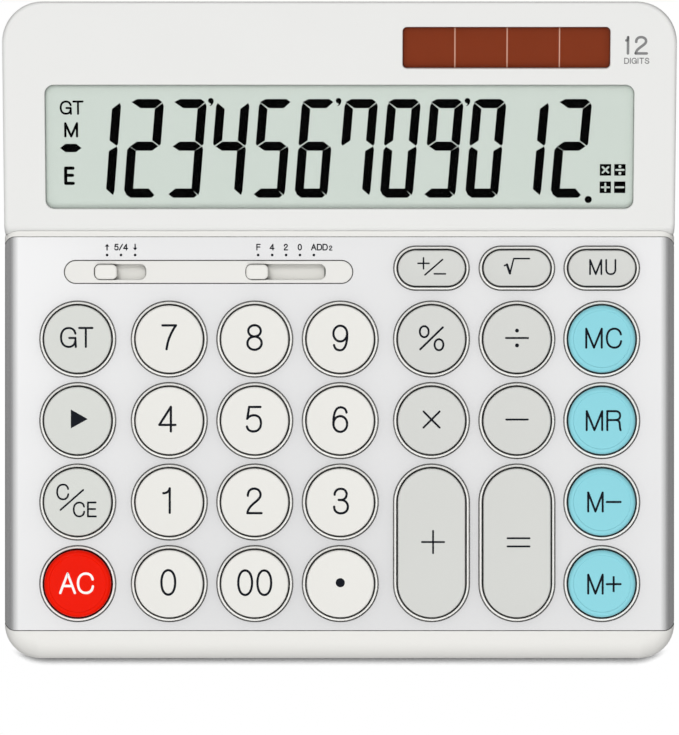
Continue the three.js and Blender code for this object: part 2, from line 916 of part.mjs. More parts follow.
// The flat cable runs under the board, through the trough and up to the hinge axis.
function ribbonCable() {
  const topW = hingeW + knuckleRadius;
  const bend = cableBend;
  const quarter = Math.PI / 2;
  const centreU = hingeU - bend;
  const centreW = cableBottomW + bend;
  const profile = polygon([
    [boardRearU - cableOverlap, cableBottomW],
    ...arcPoints(centreU, centreW, bend, bend, -quarter, 0, cornerSteps),
    [hingeU, topW],
    [hingeU - cableThickness, topW],
    ...arcPoints(centreU, centreW, bend - cableThickness, bend - cableThickness, 0, -quarter, cornerSteps),
    [boardRearU - cableOverlap, cableTopW],
  ]);
  return runAlongX(profile, -cableHalfWidth, cableHalfWidth);
}

function deckPanel() {
  const outline = roundedOutline(
    -halfWidth,
    halfWidth,
    0,
    panelLength,
    panelCornerRadius,
    panelCornerRadius,
  );
  const plan = prism(outline, -panelSideDrop, overrun);
  const outer = runAlongU(deckSection(0, -farAway), frontU, hingeU);
  const innerSection = deckSection(panelThickness, -farAway - overrun);
  const inner = runAlongU(innerSection, frontU - overrun, hingeU + overrun);
  const grown = keyGap + collarWall + 2 * panelSeatGap;
  const holes = [...keys, strip].map((key) =>
    keyColumn(key, key === strip ? 2 * panelSeatGap : grown, -2 * overrun, overrun),
  );
  return plan.intersect(outer.subtract(inner)).subtract(joined(holes));
}

const boardRearU = hingeU - troughRadius - troughWall - boardRearInset / 2;
const switchBayHalf = switchBodyWidth / 2 + switchBayGap;

function mainBoard() {
  const board = block(
    -boardHalfWidth,
    boardHalfWidth,
    boardFrontInset,
    boardRearU,
    boardBottomW,
    boardTopW,
  );
  const bodies = switches.map((slider) => {
    const half = (slider.travel + knobLength) / 2 + knobFlange;
    return block(
      slider.x - half,
      slider.x + half,
      switchU - switchBodyWidth / 2,
      switchU + switchBodyWidth / 2,
      boardTopW - boardThickness / 2,
      flangeBottomW - seatGap,
    );
  });
  return board.add(joined(bodies));
}

function domePlaces() {
  return keys.flatMap((key) =>
    key.spreadU ? [-1, 1].map((side) => [key.x, key.u + side * key.spreadU]) : [[key.x, key.u]],
  );
}

function keyMat() {
  const sheet = block(-boardHalfWidth, boardHalfWidth, boardFrontInset, boardRearU, matBottomW, matTopW);
  const switchBay = block(
    -bodyWidth,
    strip.x + strip.spreadX + strip.radius + switchStripRadius,
    switchU - switchBayHalf,
    bodyLength,
    matBottomW - overrun,
    matTopW + overrun,
  );
  const domes = domePlaces().map(([x, u]) => {
    const profile = [
      [0, matBottomW + closeGap],
      [domeRadius, matBottomW + closeGap],
      [domeRadius, matTopW],
      [domeTopRadius, domeTopW],
      [0, domeTopW],
    ];
    return solid(pulledLathe(profile, 0, 0, domeSides).translate(x, u, 0));
  });
  return sheet.subtract(switchBay).add(joined(domes));
}

// The lower shell, in the base frame, before its openings are cut.
function lowerBlock() {
  const plan = prism(planOutline(0), -farAway, -partingDepth - partingGap, deckMatrix);
  return plan.intersect(block(-bodyWidth, bodyWidth, -farAway, 2 * farAway, floorBottom, farAway));
}

function lowerHollow() {
  const plan = prism(planOutline(wall), -farAway, overrun, deckMatrix);
  return plan.intersect(block(-bodyWidth, bodyWidth, -farAway, 2 * farAway, floorTop, farAway));
}

const rearWallY = rearU * Math.cos(deckSlope);
const cellY = rearWallY - cellRearInset;
const cellZ = floorTop + seatGap + cellRadius;
const bayFrontY = rearWallY - bayDepth;

function doorRoom(gap) {
  const half = doorHalfWidth + gap;
  return block(
    -half,
    half,
    bayFrontY + bayWall - gap,
    2 * farAway,
    floorBottom - overrun,
    floorTop + doorRise + gap,
  );
}

function batteryDoor() {
  return lowerBlock().subtract(lowerHollow()).intersect(doorRoom(-doorGap / 2));
}

function footPlaces() {
  return [-footX, footX].flatMap((x) => [
    [x, footFrontInset - lipDepth],
    [x, rearWallY - footRearInset],
  ]);
}

function lowerHousing() {
  const shell = lowerBlock().subtract(lowerHollow());
  const inside = lowerBlock().intersect(
    prism(planOutline(wall / 2), -farAway, boardBottomW - seatGap, deckMatrix),
  ).intersect(block(-bodyWidth, bodyWidth, -farAway, 2 * farAway, floorBottom + wall / 2, farAway));
  const ribs = ribPlaceShares.map((share) => {
    const u = share * panelLength;
    return block(-ribHalfWidth, ribHalfWidth, u, u + ribThickness, -farAway, farAway, deckMatrix);
  });
  const posts = screwPlaces().map(({ x, y }) => post(bossRadius, x, y, floorBottom, farAway, roundSides / 2));
  const bay = block(
    -bayHalfLength - bayWall,
    bayHalfLength + bayWall,
    bayFrontY,
    rearWallY,
    floorTop - wall / 2,
    floorTop + bayHeight,
  ).subtract(
    block(
      -bayHalfLength,
      bayHalfLength,
      bayFrontY + bayWall,
      rearWallY + overrun,
      floorBottom - overrun,
      floorTop + bayHeight + overrun,
    ),
  );
  const holes = screwPlaces().flatMap(({ x, y }) => [
    post(screwRadius + screwHoleGap, x, y, floorBottom - overrun, farAway, screwSides),
    post(
      screwHeadRadius + screwHoleGap,
      x,
      y,
      floorBottom - overrun,
      floorBottom + screwHeadThickness + screwHoleGap,
      roundSides / 2,
    ),
  ]);
  const pockets = footPlaces().map(([x, y]) =>
    post(footRadius + closeGap, x, y, floorBottom - overrun, floorBottom + footPocket, roundSides),
  );
  return shell
    .add(joined([...ribs, ...posts, bay]).intersect(inside))
    .subtract(joined([...holes, ...pockets, doorRoom(doorGap / 2)]))
    .subtract(troughRoom());
}

// Room for the trough where it dips through the parting plane and for the barrel's ends.
function troughRoom() {
  const inner = barX(
    troughRadius + troughWall + seatGap,
    -halfWidth + wall,
    halfWidth - wall,
    hingeU,
    hingeW,
    2 * roundSides,
  );
  const barrel = barX(
    troughRadius,
    -halfWidth - overrun,
    halfWidth + overrun,
    hingeU,
    hingeW,
    2 * roundSides,
  );
  return moved(inner.add(barrel), deckMatrix);
}

// A screw whose head is at the bottom.
function screw(length) {
  const profile = [
    [0, 0],
    [screwHeadRadius, 0],
    [screwHeadRadius, screwHeadThickness],
    [screwRadius, screwHeadThickness],
    [screwRadius, length - screwRadius],
    [0, length],
  ];
  return pulledLathe(profile, 0, 0, screwSides);
}

function cell() {
  const half = cellLength / 2;
  const profile = [
    [0, -half],
    [cellRadius, -half],
    [cellRadius, half - nubLength],
    [nubRadius, half - nubLength],
    [nubRadius, half],
    [0, half],
  ];
  return pulledLathe(profile, 0, 0, roundSides).rotateY(Math.PI / 2);
}

class Spiral extends THREE.Curve {
  getPoint(share) {
    const angle = share * springTurns * 2 * Math.PI;
    const radius = springRadius * (1 + (springTipShare - 1) * share);
    return new THREE.Vector3(share * springLength, radius * Math.cos(angle), radius * Math.sin(angle));
  }
}

function spring() {
  const section = polygon(
    Array.from({ length: springSides }, (_, i) => {
      const angle = (i * 2 * Math.PI) / springSides;
      return [springWire * Math.cos(angle), springWire * Math.sin(angle)];
    }),
  );
  return new THREE.ExtrudeGeometry(section, {
    steps: springTurns * springTurnSteps,
    bevelEnabled: false,
    extrudePath: new Spiral(),
  });
}

function contactPlate() {
  const half = contactSide / 2;
  const plate = block(0, contactThickness, -half, half, -half, half);
  return plate.add(barX(nubRadius, -nubLength / 2, contactThickness / 2, 0, 0, roundSides / 2));
}

// Materials and meshes
function material(colour, roughness, metalness) {
  return new THREE.MeshStandardMaterial({ color: colour, roughness, metalness });
}

const housingMaterial = material(0xe8e6e2, 0.55, 0);
const lowerMaterial = material(0xdedcd8, 0.6, 0);
const headMaterial = material(0xebebe9, 0.45, 0);
const panelMaterial = material(0xedeeef, 0.35, 0.6);
const boardMaterial = material(0x2f6b3a, 0.6, 0);
const matMaterial = material(0xc9ccca, 0.8, 0);
const lensMaterial = material(0xd8e2da, 0.08, 0);
const lcdMaterial = material(0xcfd9d0, 0.3, 0);
const holderMaterial = material(0xf2f2f0, 0.5, 0);
const cableMaterial = material(0xd8a44a, 0.5, 0);
const cellMaterial = material(0x8a9096, 0.35, 0.6);
const solarMaterial = material(0x5a2418, 0.25, 0.1);
const solarGlassMaterial = material(0x7e3420, 0.08, 0);
const steelMaterial = material(0xb8bcc0, 0.3, 1);
const rubberMaterial = material(0xb4b4b2, 0.9, 0);
const knobMaterial = material(0xeceae6, 0.5, 0);

function piece(parent, name, geometry, look, x = 0, y = 0, z = 0) {
  const mesh = new THREE.Mesh(geometry, look);
  mesh.name = name;
  mesh.position.set(x, y, z);
  parent.add(mesh);
  return mesh;
}

function framed(parent, matrix) {
  const group = new THREE.Group();
  group.applyMatrix4(matrix);
  parent.add(group);
  return group;
}

const base = new THREE.Group();
const deck = framed(base, deckMatrix);
const head = framed(deck, headMatrix);

function addDeck() {
  piece(deck, "upper_housing", geometryOf(upperHousing()), housingMaterial);
  piece(deck, "deck_panel", geometryOf(deckPanel()), panelMaterial);
  piece(deck, "main_board", geometryOf(mainBoard()), boardMaterial);
  piece(deck, "key_mat", geometryOf(keyMat()), matMaterial);
  piece(deck, "lcd_ribbon", geometryOf(ribbonCable()), cableMaterial);
  for (const key of keys) {
    piece(deck, key.name, geometryOf(solid(keyCap(key))), material(key.colour, 0.4, 0), key.x, key.u);
  }
  for (const slider of switches) {
    piece(deck, slider.name, geometryOf(knob(slider)), knobMaterial, knobStart(slider), switchU);
  }
}

function addHead() {
  piece(head, "display_cover", geometryOf(displayCover()), headMaterial);
  piece(head, "display_back", geometryOf(displayBack()), headMaterial);
  piece(head, "display_lens", geometryOf(prism(lensOutline(lensMargin), lensBottom, lensTop)), lensMaterial);
  piece(head, "lcd_glass", geometryOf(prism(lensOutline(lcdMargin), lcdBottom, lcdTop)), lcdMaterial);
  piece(head, "lcd_holder", geometryOf(lcdHolder()), holderMaterial);
  const window = prism(solarOutline(solarMargin), lensBottom, lensTop);
  const solarCell = prism(solarOutline(solarMargin / 2), lcdTop - solarCellThickness, lcdTop);
  piece(head, "solar_window", geometryOf(window), solarGlassMaterial);
  piece(head, "solar_cell", geometryOf(solarCell), solarMaterial);
  ["left", "right"].forEach((side, i) => {
    const x = i ? hingeX : -hingeX;
    const pin = barX(pinRadius, x - pinLength / 2, x + pinLength / 2, 0, 0, roundSides / 2);
    piece(head, side + "_hinge_pin", geometryOf(pin), steelMaterial);
    const [screwX, screwS] = headBossPlaces()[i];
    const length = backHeight + headSplit + headScrewReach;
    const look = geometryOf(solid(screw(length)));
    piece(head, side + "_display_screw", look, steelMaterial, screwX, screwS, closeGap - backHeight);
  });
}

function addBase() {
  piece(base, "lower_housing", geometryOf(lowerHousing()), lowerMaterial);
  piece(base, "battery_door", geometryOf(batteryDoor()), lowerMaterial);
  const springStart = -bayHalfLength + seatGap + springWire;
  const cellStart = springStart + springLength + springWire + seatGap;
  const contactX = bayHalfLength - closeGap - contactThickness;
  piece(base, "battery_spring", spring(), steelMaterial, springStart, cellY, cellZ);
  const cellX = cellStart + cellLength / 2;
  piece(base, "battery_cell", geometryOf(solid(cell())), cellMaterial, cellX, cellY, cellZ);
  piece(base, "battery_contact", geometryOf(contactPlate()), steelMaterial, contactX, cellY, cellZ);
  const foot = geometryOf(post(footRadius, 0, 0, 0, footHeight + footPocket - closeGap, roundSides));
  const feet = ["front_left_foot", "rear_left_foot", "front_right_foot", "rear_right_foot"];
  footPlaces().forEach(([x, y], i) => piece(base, feet[i], foot, rubberMaterial, x, y));
  const screws = ["front_left_screw", "front_right_screw", "rear_left_screw", "rear_right_screw"];
  screwPlaces().forEach(({ x, y }, i) => {
    const length = partingZ(y) - floorBottom + screwReach;
    const geometry = geometryOf(solid(screw(length)));
    piece(base, screws[i], geometry, steelMaterial, x, y, floorBottom + closeGap);
  });
}

addDeck();
addHead();
addBase();

// The origin is the middle of the underside of the whole part.
const calculator = new THREE.Group();
calculator.name = "desktop_calculator";
calculator.add(base);
calculator.updateMatrixWorld(true);
const bounds = new THREE.Box3().setFromObject(calculator, true);
base.position.y = -(bounds.min.y + bounds.max.y) / 2;
base.position.z = -bounds.min.z;
calculator.updateMatrixWorld(true);
calculator.userData.tiltRange = tiltRange;
calculator.userData.keyTravel = keyTravel;

export default calculator;
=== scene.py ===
# %% [markdown]
# # Desktop calculator with a tilting display head
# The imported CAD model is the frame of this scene. Every piece here stands for one of its solids and
# rides on that solid's body, so the keys, the switches, the head and the battery door still move.
# Lengths are millimetres in the frame of the deck or of the head, and each frame turns them to metres.

import json
import math

import bmesh
import bpy
from mathutils import Matrix, Vector


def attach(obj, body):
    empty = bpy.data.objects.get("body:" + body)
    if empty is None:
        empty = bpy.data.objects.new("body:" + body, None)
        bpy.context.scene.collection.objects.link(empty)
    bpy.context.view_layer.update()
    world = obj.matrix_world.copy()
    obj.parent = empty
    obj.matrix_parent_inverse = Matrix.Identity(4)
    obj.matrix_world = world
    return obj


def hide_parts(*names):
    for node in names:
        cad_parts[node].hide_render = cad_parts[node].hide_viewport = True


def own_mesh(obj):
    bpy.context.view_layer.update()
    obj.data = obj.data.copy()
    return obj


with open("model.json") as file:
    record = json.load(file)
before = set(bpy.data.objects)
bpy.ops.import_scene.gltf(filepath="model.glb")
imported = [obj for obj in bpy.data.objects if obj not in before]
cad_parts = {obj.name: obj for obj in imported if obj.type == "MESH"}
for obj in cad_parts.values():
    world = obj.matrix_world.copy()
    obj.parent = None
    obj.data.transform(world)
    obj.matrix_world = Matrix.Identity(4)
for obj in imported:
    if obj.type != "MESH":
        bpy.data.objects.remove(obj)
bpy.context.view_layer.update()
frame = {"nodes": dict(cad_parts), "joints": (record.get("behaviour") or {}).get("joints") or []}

# %% [markdown]
# The deck of the real object rises to the rear, and its display head leans back more than the deck.
# Both frames come from the joints: a key's travel is square to the deck, and the tilt joint is the
# hinge. In the deck's frame x runs across, u up the deck from the panel's front edge, w square to it.
# In the head's frame s runs up the display's face from the hinge, and t is square to that face.

# %% Frames of the deck and the head
MM = 0.001
JOINTS = {joint["name"]: joint for joint in frame["joints"]}
PRESS = JOINTS["press_5"]["axis"]
DECK_SLOPE = math.atan2(PRESS[1], -PRESS[2])
HEAD_LEAN = math.radians(14)
HINGE = Vector(JOINTS["display_tilt"]["pos_m"])
HINGE_U = 120.631
HINGE_W = -5.2
WORLD = Matrix.Scale(MM, 4)
DECK_TURN = Matrix.Rotation(DECK_SLOPE, 4, "X")
DECK_ORIGIN = HINGE - DECK_TURN @ (Vector((0, HINGE_U, HINGE_W)) * MM)
DECK = Matrix.Translation(DECK_ORIGIN) @ DECK_TURN @ WORLD
HEAD = Matrix.Translation(HINGE) @ Matrix.Rotation(DECK_SLOPE + HEAD_LEAN, 4, "X") @ WORLD
print("deck slope", round(math.degrees(DECK_SLOPE), 3), "origin", [round(v, 5) for v in DECK_ORIGIN])

# %% [markdown]
# Keys, slots and windows all have round corners, so one kind of place stands for each of them: a
# centre, a corner radius, and how far the corners are spread apart. A round key has no spread. The
# real key field has a little more room after its first and its fourth column.

# %% Places of the keys
KEY_RADIUS = 9.502
COLUMNS = (-74.14, -48.22, -24.0, 0.22, 26.06, 50.26, 74.3)
ROWS = (13.27, 36.38, 59.46, 82.55)
PILL_ROW = 102.64
PILL_RADIUS, PILL_SPREAD = 4.99, 4.451
TALL_SPREAD = 11.551


def placed(x, u, radius=KEY_RADIUS, spread_x=0.0, spread_u=0.0):
    return {"x": x, "u": u, "r": radius, "sx": spread_x, "su": spread_u}


def key_places():
    rows = (
        ("all_clear", "0", "00", "point", None, None, "memory_plus"),
        ("clear_entry", "1", "2", "3", None, None, "memory_minus"),
        ("backspace", "4", "5", "6", "times", "minus", "memory_recall"),
        ("grand_total", "7", "8", "9", "percent", "divide", "memory_clear"),
    )
    places = {}
    for u, names in zip(ROWS, rows):
        places.update({name: placed(x, u) for x, name in zip(COLUMNS, names) if name})
    middle = (ROWS[0] + ROWS[1]) / 2
    for x, name in zip(COLUMNS[4:], ("plus", "equals")):
        places[name] = placed(x, middle, spread_u=TALL_SPREAD)
    for x, name in zip(COLUMNS[4:], ("sign", "root", "mark_up")):
        places[name] = placed(x, PILL_ROW, PILL_RADIUS, PILL_SPREAD)
    return places


KEYS = key_places()
print("keys", len(KEYS))

# %% [markdown]
# Moulded pieces are drawn as outlines and profiles. A loft joins outlines of the same point count into
# a skin, which makes the rolled edges and the dished caps. A straight run is an extruded outline.

# %% Outlines and skins
def rounded(left, right, front, rear, front_radius, rear_radius, steps=12):
    """A rounded rectangle as (x, u, normal x, normal u), counter-clockwise from the front right."""
    corners = (
        (right - front_radius, front + front_radius, front_radius, -90),
        (right - rear_radius, rear - rear_radius, rear_radius, 0),
        (left + rear_radius, rear - rear_radius, rear_radius, 90),
        (left + front_radius, front + front_radius, front_radius, 180),
    )
    points = []
    for x, u, radius, start in corners:
        for i in range(steps + 1):
            angle = math.radians(start + 90 * i / steps)
            nx, nu = math.cos(angle), math.sin(angle)
            points.append((x + radius * nx, u + radius * nu, nx, nu))
    return points


def ring(place, margin, w, steps=12):
    """A place's outline grown by a margin, at a height."""
    radius = place["r"] + margin
    half, side = place["sx"] + radius, place["su"] + radius
    x, u = place["x"], place["u"]
    outline = rounded(x - half, x + half, u - side, u + side, radius, radius, steps)
    return [(*point[:2], w) for point in outline]


def loft(rings, cap_start=True, cap_end=True):
    """Vertices and faces of a skin through rings that run counter-clockwise and rise."""
    count = len(rings[0])
    vertices = [point for one in rings for point in one]
    faces = []
    for level in range(len(rings) - 1):
        low, high = level * count, (level + 1) * count
        for i in range(count):
            j = (i + 1) % count
            faces.append((low + i, low + j, high + j, high + i))
    if cap_start:
        faces.append(tuple(reversed(range(count))))
    if cap_end:
        faces.append(tuple(range(len(vertices) - count, len(vertices))))
    return vertices, faces


def turned(place, profile, steps=12, cap_start=True, cap_end=True):
    """A skin that follows a profile of (margin, height) round a place."""
    return loft([ring(place, margin, w, steps) for margin, w in profile], cap_start, cap_end)


def run(points, start, end, axis=2):
    """A flat outline run along one axis, its own coordinates on the other two in their order."""
    return loft([[(*p[:axis], at, *p[axis:2]) for p in points] for at in (start, end)])


def block(x0, x1, y0, y1, z0, z1):
    return run([(x0, y0), (x1, y0), (x1, y1), (x0, y1)], z0, z1)


def arc(x, y, radius, start, end, steps):
    """Points on an arc between two angles in degrees."""
    turns = (math.radians(start + (end - start) * i / steps) for i in range(steps + 1))
    return [(x + radius * math.cos(turn), y + radius * math.sin(turn)) for turn in turns]


def quarter(steps):
    """The angles of a quarter turn, without its start."""
    return [math.pi / 2 * i / steps for i in range(1, steps + 1)]


print("key outline points", len(ring(KEYS["5"], 0, 0)))

# %% [markdown]
# Each piece is a plain mesh in the end, so a modifier is applied as soon as it is set. That keeps the
# order of cuts and joins the same each run, and a tool that has cut is gone.

# %% Objects, cuts and joins
def put(name, data):
    made = bpy.data.objects.new(name, data)
    bpy.context.scene.collection.objects.link(made)
    return made


def put_work(name, work):
    """A new object from a working mesh, which is used up."""
    mesh = bpy.data.meshes.new(name)
    work.to_mesh(mesh)
    work.free()
    return put(name, mesh)


def make(shape, name="tool", matrix=None):
    """A new object from vertices and faces, with near points merged."""
    vertices, faces = shape
    mesh = bpy.data.meshes.new("points")
    mesh.from_pydata(vertices, [], faces)
    work = bmesh.new()
    work.from_mesh(mesh)
    bpy.data.meshes.remove(mesh)
    bmesh.ops.remove_doubles(work, verts=work.verts, dist=1e-5)
    bmesh.ops.dissolve_degenerate(work, edges=work.edges, dist=1e-6)
    bmesh.ops.recalc_face_normals(work, faces=work.faces)
    made = put_work(name, work)
    if matrix:
        made.data.transform(matrix)
    return made


def discard(piece):
    mesh = piece.data
    bpy.data.objects.remove(piece)
    bpy.data.meshes.remove(mesh)


def settle(piece):
    """Applies a piece's modifiers to its mesh."""
    graph = bpy.context.evaluated_depsgraph_get()
    graph.update()
    old = piece.data
    mesh = bpy.data.meshes.new_from_object(piece.evaluated_get(graph), depsgraph=graph)
    piece.modifiers.clear()
    piece.data = mesh
    bpy.data.meshes.remove(old)
    return piece


def combine(piece, others, operation="DIFFERENCE"):
    """Cuts, joins or crosses a piece with others, which are used up."""
    for other in others:
        change = piece.modifiers.new("change", "BOOLEAN")
        change.operation = operation
        change.solver = "MANIFOLD"
        change.object = other
        settle(piece)
        discard(other)
    return piece


def join(name, pieces):
    """One object from several, whose meshes stay separate shells."""
    work = bmesh.new()
    for piece in pieces:
        work.from_mesh(piece.data)
        discard(piece)
    return put_work(name, work)


def shade(piece, angle=35):
    """Smooth shading that keeps true edges, with the flat faces' own normals."""
    piece.data.shade_smooth()
    piece.data.set_sharp_from_angle(angle=math.radians(angle))
    weighted = piece.modifiers.new("weighted", "WEIGHTED_NORMAL")
    weighted.keep_sharp = True
    weighted.weight = 100
    return settle(piece)


def finish_piece(piece, body, node, slot, look):
    """Places a piece in metres, gives it its body and its look, and hides its CAD node if any.
    The slot is not used.
    """
    piece.data.transform(HEAD if body == "display_head" else DECK)
    piece.data.materials.clear()
    piece.data.materials.append(look)
    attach(piece, body)
    if node:
        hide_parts(node)


print("mesh tools ready")

# %% [markdown]
# The photograph looks square at the deck from far above, so that the keys stand nearly as in a plan
# and the raised rear of the head comes out one percent wider than the deck.

# %% Camera
VIEW_U = 74.5
VIEW_DISTANCE = 2000
VIEW_HEIGHT = 208.24
SENSOR = 36


def add_camera():
    data = bpy.data.cameras.new("camera")
    data.sensor_width = SENSOR
    data.lens = SENSOR * VIEW_DISTANCE / VIEW_HEIGHT
    data.clip_start = 0.05
    data.clip_end = 20
    camera = put("camera", data)
    place = DECK @ Vector((0, VIEW_U, VIEW_DISTANCE))
    camera.matrix_world = Matrix.Translation(place) @ DECK_TURN
    bpy.context.scene.camera = camera
    bpy.context.scene.view_settings.view_transform = "Standard"
    print("camera", [round(v, 3) for v in place])


add_camera()

# %% [markdown]
# A look is a tree of shader nodes. Written out, each node takes four lines, so the ones that the looks
# share have a short call each. The patterns are read in metres on the object, so that a grain keeps
# its real size on every piece.

# %% Material tools
class Nodes:
    """A new material's node tree, or another tree. The short calls give back the new node's output."""

    def __init__(self, name, tree=None):
        if tree is None:
            self.material = bpy.data.materials.new(name)
            self.material.use_nodes = True
            tree = self.material.node_tree
            self.shader = tree.nodes["Principled BSDF"]
        self.tree = tree

    def wire(self, node, sockets):
        """Links or sets a node's sockets."""
        for key, value in sockets.items():
            if isinstance(value, bpy.types.NodeSocket):
                self.tree.links.new(value, node.inputs[key])
            else:
                node.inputs[key].default_value = value

    def node(self, kind, sockets=None, **settings):
        made = self.tree.nodes.new(kind)
        for name, value in settings.items():
            setattr(made, name, value)
        self.wire(made, sockets or {})
        return made

    def add(self, kind, sockets=None, out=0, **settings):
        return self.node("ShaderNode" + kind, sockets, **settings).outputs[out]

    def maths(self, operation, first, second, **settings):
        return self.add("Math", {0: first, 1: second}, operation=operation, **settings)

    def remap(self, value, start, end, low, high):
        limits = {"From Min": start, "From Max": end, "To Min": low, "To Max": high}
        return self.add("MapRange", {"Value": value, **limits})

    def place(self):
        return self.add("TexCoord", out="Object")

    def noise(self, scale, detail=2.0):
        return self.add("TexNoise", {"Vector": self.place(), "Scale": scale, "Detail": detail})

    def bands(self, scale, distortion=0.0):
        sockets = {"Vector": self.place(), "Scale": scale, "Distortion": distortion}
        return self.add("TexWave", sockets, "Fac", bands_direction="X")

    def openness(self, distance, samples=8):
        """How little a point is shut in by what stands within a distance."""
        return self.add("AmbientOcclusion", {"Distance": distance}, "AO", samples=samples)

    def ray(self, kind):
        return self.add("LightPath", out="Is " + kind + " Ray")

    def tint(self, value, colour):
        return self.add("HueSaturation", {"Value": value, "Color": colour})

    def bump(self, height, strength, distance, edge=None):
        """A surface raised by a pattern, on edges broken by a small radius if there is one."""
        sockets = {"Height": height, "Strength": strength, "Distance": distance}
        if edge is not None:
            sockets["Normal"] = self.add("Bevel", {"Radius": edge}, samples=4)
        return self.add("Bump", sockets)

    def greys(self, value, stops, interpolation="LINEAR"):
        """Grey levels at places along a value."""
        made = self.node("ShaderNodeValToRGB", {0: value})
        made.color_ramp.interpolation = interpolation
        elements = made.color_ramp.elements
        while len(elements) < len(stops):
            elements.new(0.5)
        for element, (at, level) in zip(elements, stops):
            element.position = at
            element.color = (level, level, level, 1)
        return made.outputs[0]

    def surface(self, sockets):
        """Sets the material's shader, and gives back the material."""
        self.wire(self.shader, sockets)
        return self.material

    def mix(self, share, first, second):
        """Shows two shaders in shares, and gives back the material."""
        mixed = self.add("MixShader", {0: share, 1: first, 2: second})
        self.wire(self.tree.nodes["Material Output"], {"Surface": mixed})
        return self.material


def new_group(name, kind, inputs, outputs):
    """A node group with named sockets, and its nodes for what goes in and what comes out."""
    tree = bpy.data.node_groups.new(name, kind + "NodeTree")
    for way, sockets in (("INPUT", inputs), ("OUTPUT", outputs)):
        for label, socket in sockets.items():
            tree.interface.new_socket(label, in_out=way, socket_type="NodeSocket" + socket)
    nodes = Nodes(name, tree)
    return nodes, nodes.node("NodeGroupInput").outputs, nodes.node("NodeGroupOutput")


print("material tools ready")

# %% [markdown]
# Moulded plastic is never one flat colour: the pigment clouds a little, the mould leaves a fine grain,
# light catches every broken edge, and painted shade darkens every narrow gap. One node group holds
# those effects, and each material sets its own amounts.

# %% Moulded plastic
def mouldings():
    """Cloudy pigment, a fine mould grain, softly broken edges and painted shade in every narrow gap."""
    inputs = {"Colour": "Color", **dict.fromkeys(("Clouding", "Grain", "Edge", "PaintedGapShade"), "Float")}
    outputs = {"Colour": "Color", "Normal": "Vector", "Cloud": "Float"}
    nodes, given, end = new_group("moulded_surface", "Shader", inputs, outputs)
    cloud = nodes.noise(45.0, 3.0)
    shift = nodes.maths("MULTIPLY", nodes.maths("SUBTRACT", cloud, 0.5), given["Clouding"])
    pigment = nodes.maths("ADD", shift, 1.0)
    # Painted shade: the colour darkens where a narrow gap shuts the surface in.
    painted_crevice_shade = nodes.remap(nodes.openness(0.0016, 6), 0.2, 0.56, 0.02, 1.0)
    painted_gap_shade = nodes.maths("MAXIMUM", painted_crevice_shade, nodes.maths("SUBTRACT", 1.0, given["PaintedGapShade"]))
    colour = nodes.tint(nodes.maths("MULTIPLY", pigment, painted_gap_shade), given["Colour"])
    bump = nodes.bump(nodes.noise(2500.0), given["Grain"], 0.00002, given["Edge"])
    nodes.wire(end, {"Colour": colour, "Normal": bump, "Cloud": cloud})
    return nodes.tree


def srgb(red, green, blue):
    """A colour measured in 0-255 display values, as linear light."""
    out = []
    for value in (red, green, blue):
        share = value / 255
        out.append(share / 12.92 if share <= 0.04045 else ((share + 0.055) / 1.055) ** 2.4)
    return (*out, 1.0)


MOULDED = mouldings()


def plastic(name, colour, roughness, grain=0.3, painted_gap_shade=1.0, edge=0.0002, specular=0.5):
    """Moulded plastic with its own colour, gloss and grain. One amount sets how dark painted shade
    makes each narrow gap.
    """
    nodes = Nodes(name)
    amounts = {"Colour": colour, "Clouding": 0.02, "Grain": grain, "Edge": edge, "PaintedGapShade": painted_gap_shade}
    moulded = nodes.node("ShaderNodeGroup", amounts, node_tree=MOULDED).outputs
    return nodes.surface({
        "Base Color": moulded["Colour"],
        "Normal": moulded["Normal"],
        "Roughness": nodes.remap(moulded["Cloud"], 0, 1, roughness * 0.9, roughness * 1.1),
        "Specular IOR Level": specular,
    })


HOUSING_LOOK =plastic("housing_plastic", srgb(231, 230, 226), 0.42)
# The rings are the housing's own plastic; their lighter colour is painted light on their raised tops.
RING_PAINTED_LIGHT_LOOK = plastic("ring_plastic_with_painted_light", srgb(245, 244, 240), 0.4, painted_gap_shade=0.8)
HEAD_LOOK = plastic("head_plastic", srgb(231, 231, 229), 0.3, 0.12, painted_gap_shade=0.0)
NUMBER_LOOK = plastic("number_key_plastic", srgb(231, 230, 225), 0.35, 0.15)
FUNCTION_LOOK = plastic("function_key_plastic", srgb(211, 212, 208), 0.35, 0.15)
EDIT_LOOK = plastic("edit_key_plastic", srgb(213, 215, 210), 0.35, 0.15)
KNOB_LOOK = plastic("knob_plastic", srgb(234, 233, 228), 0.4, 0.2)
MEMORY_LOOK = plastic("memory_key_plastic", srgb(140, 212, 223), 0.14, 0.03, specular=0.3)
CLEAR_LOOK = plastic("clear_key_plastic", srgb(236, 24, 1), 0.14, 0.03, specular=0.08)
print("materials", len(bpy.data.materials))

# %% [markdown]
# The calculator lies on a white table under a soft studio tent. The tent is bright overhead and falls
# off to the horizon, which is what darkens the bent sides of the silver panel in the photograph.

# %% Floor, lights and world
SKY = ((0.0, 0.1), (0.5, 0.34), (0.86, 0.68), (0.965, 1.02), (1.0, 0.96))


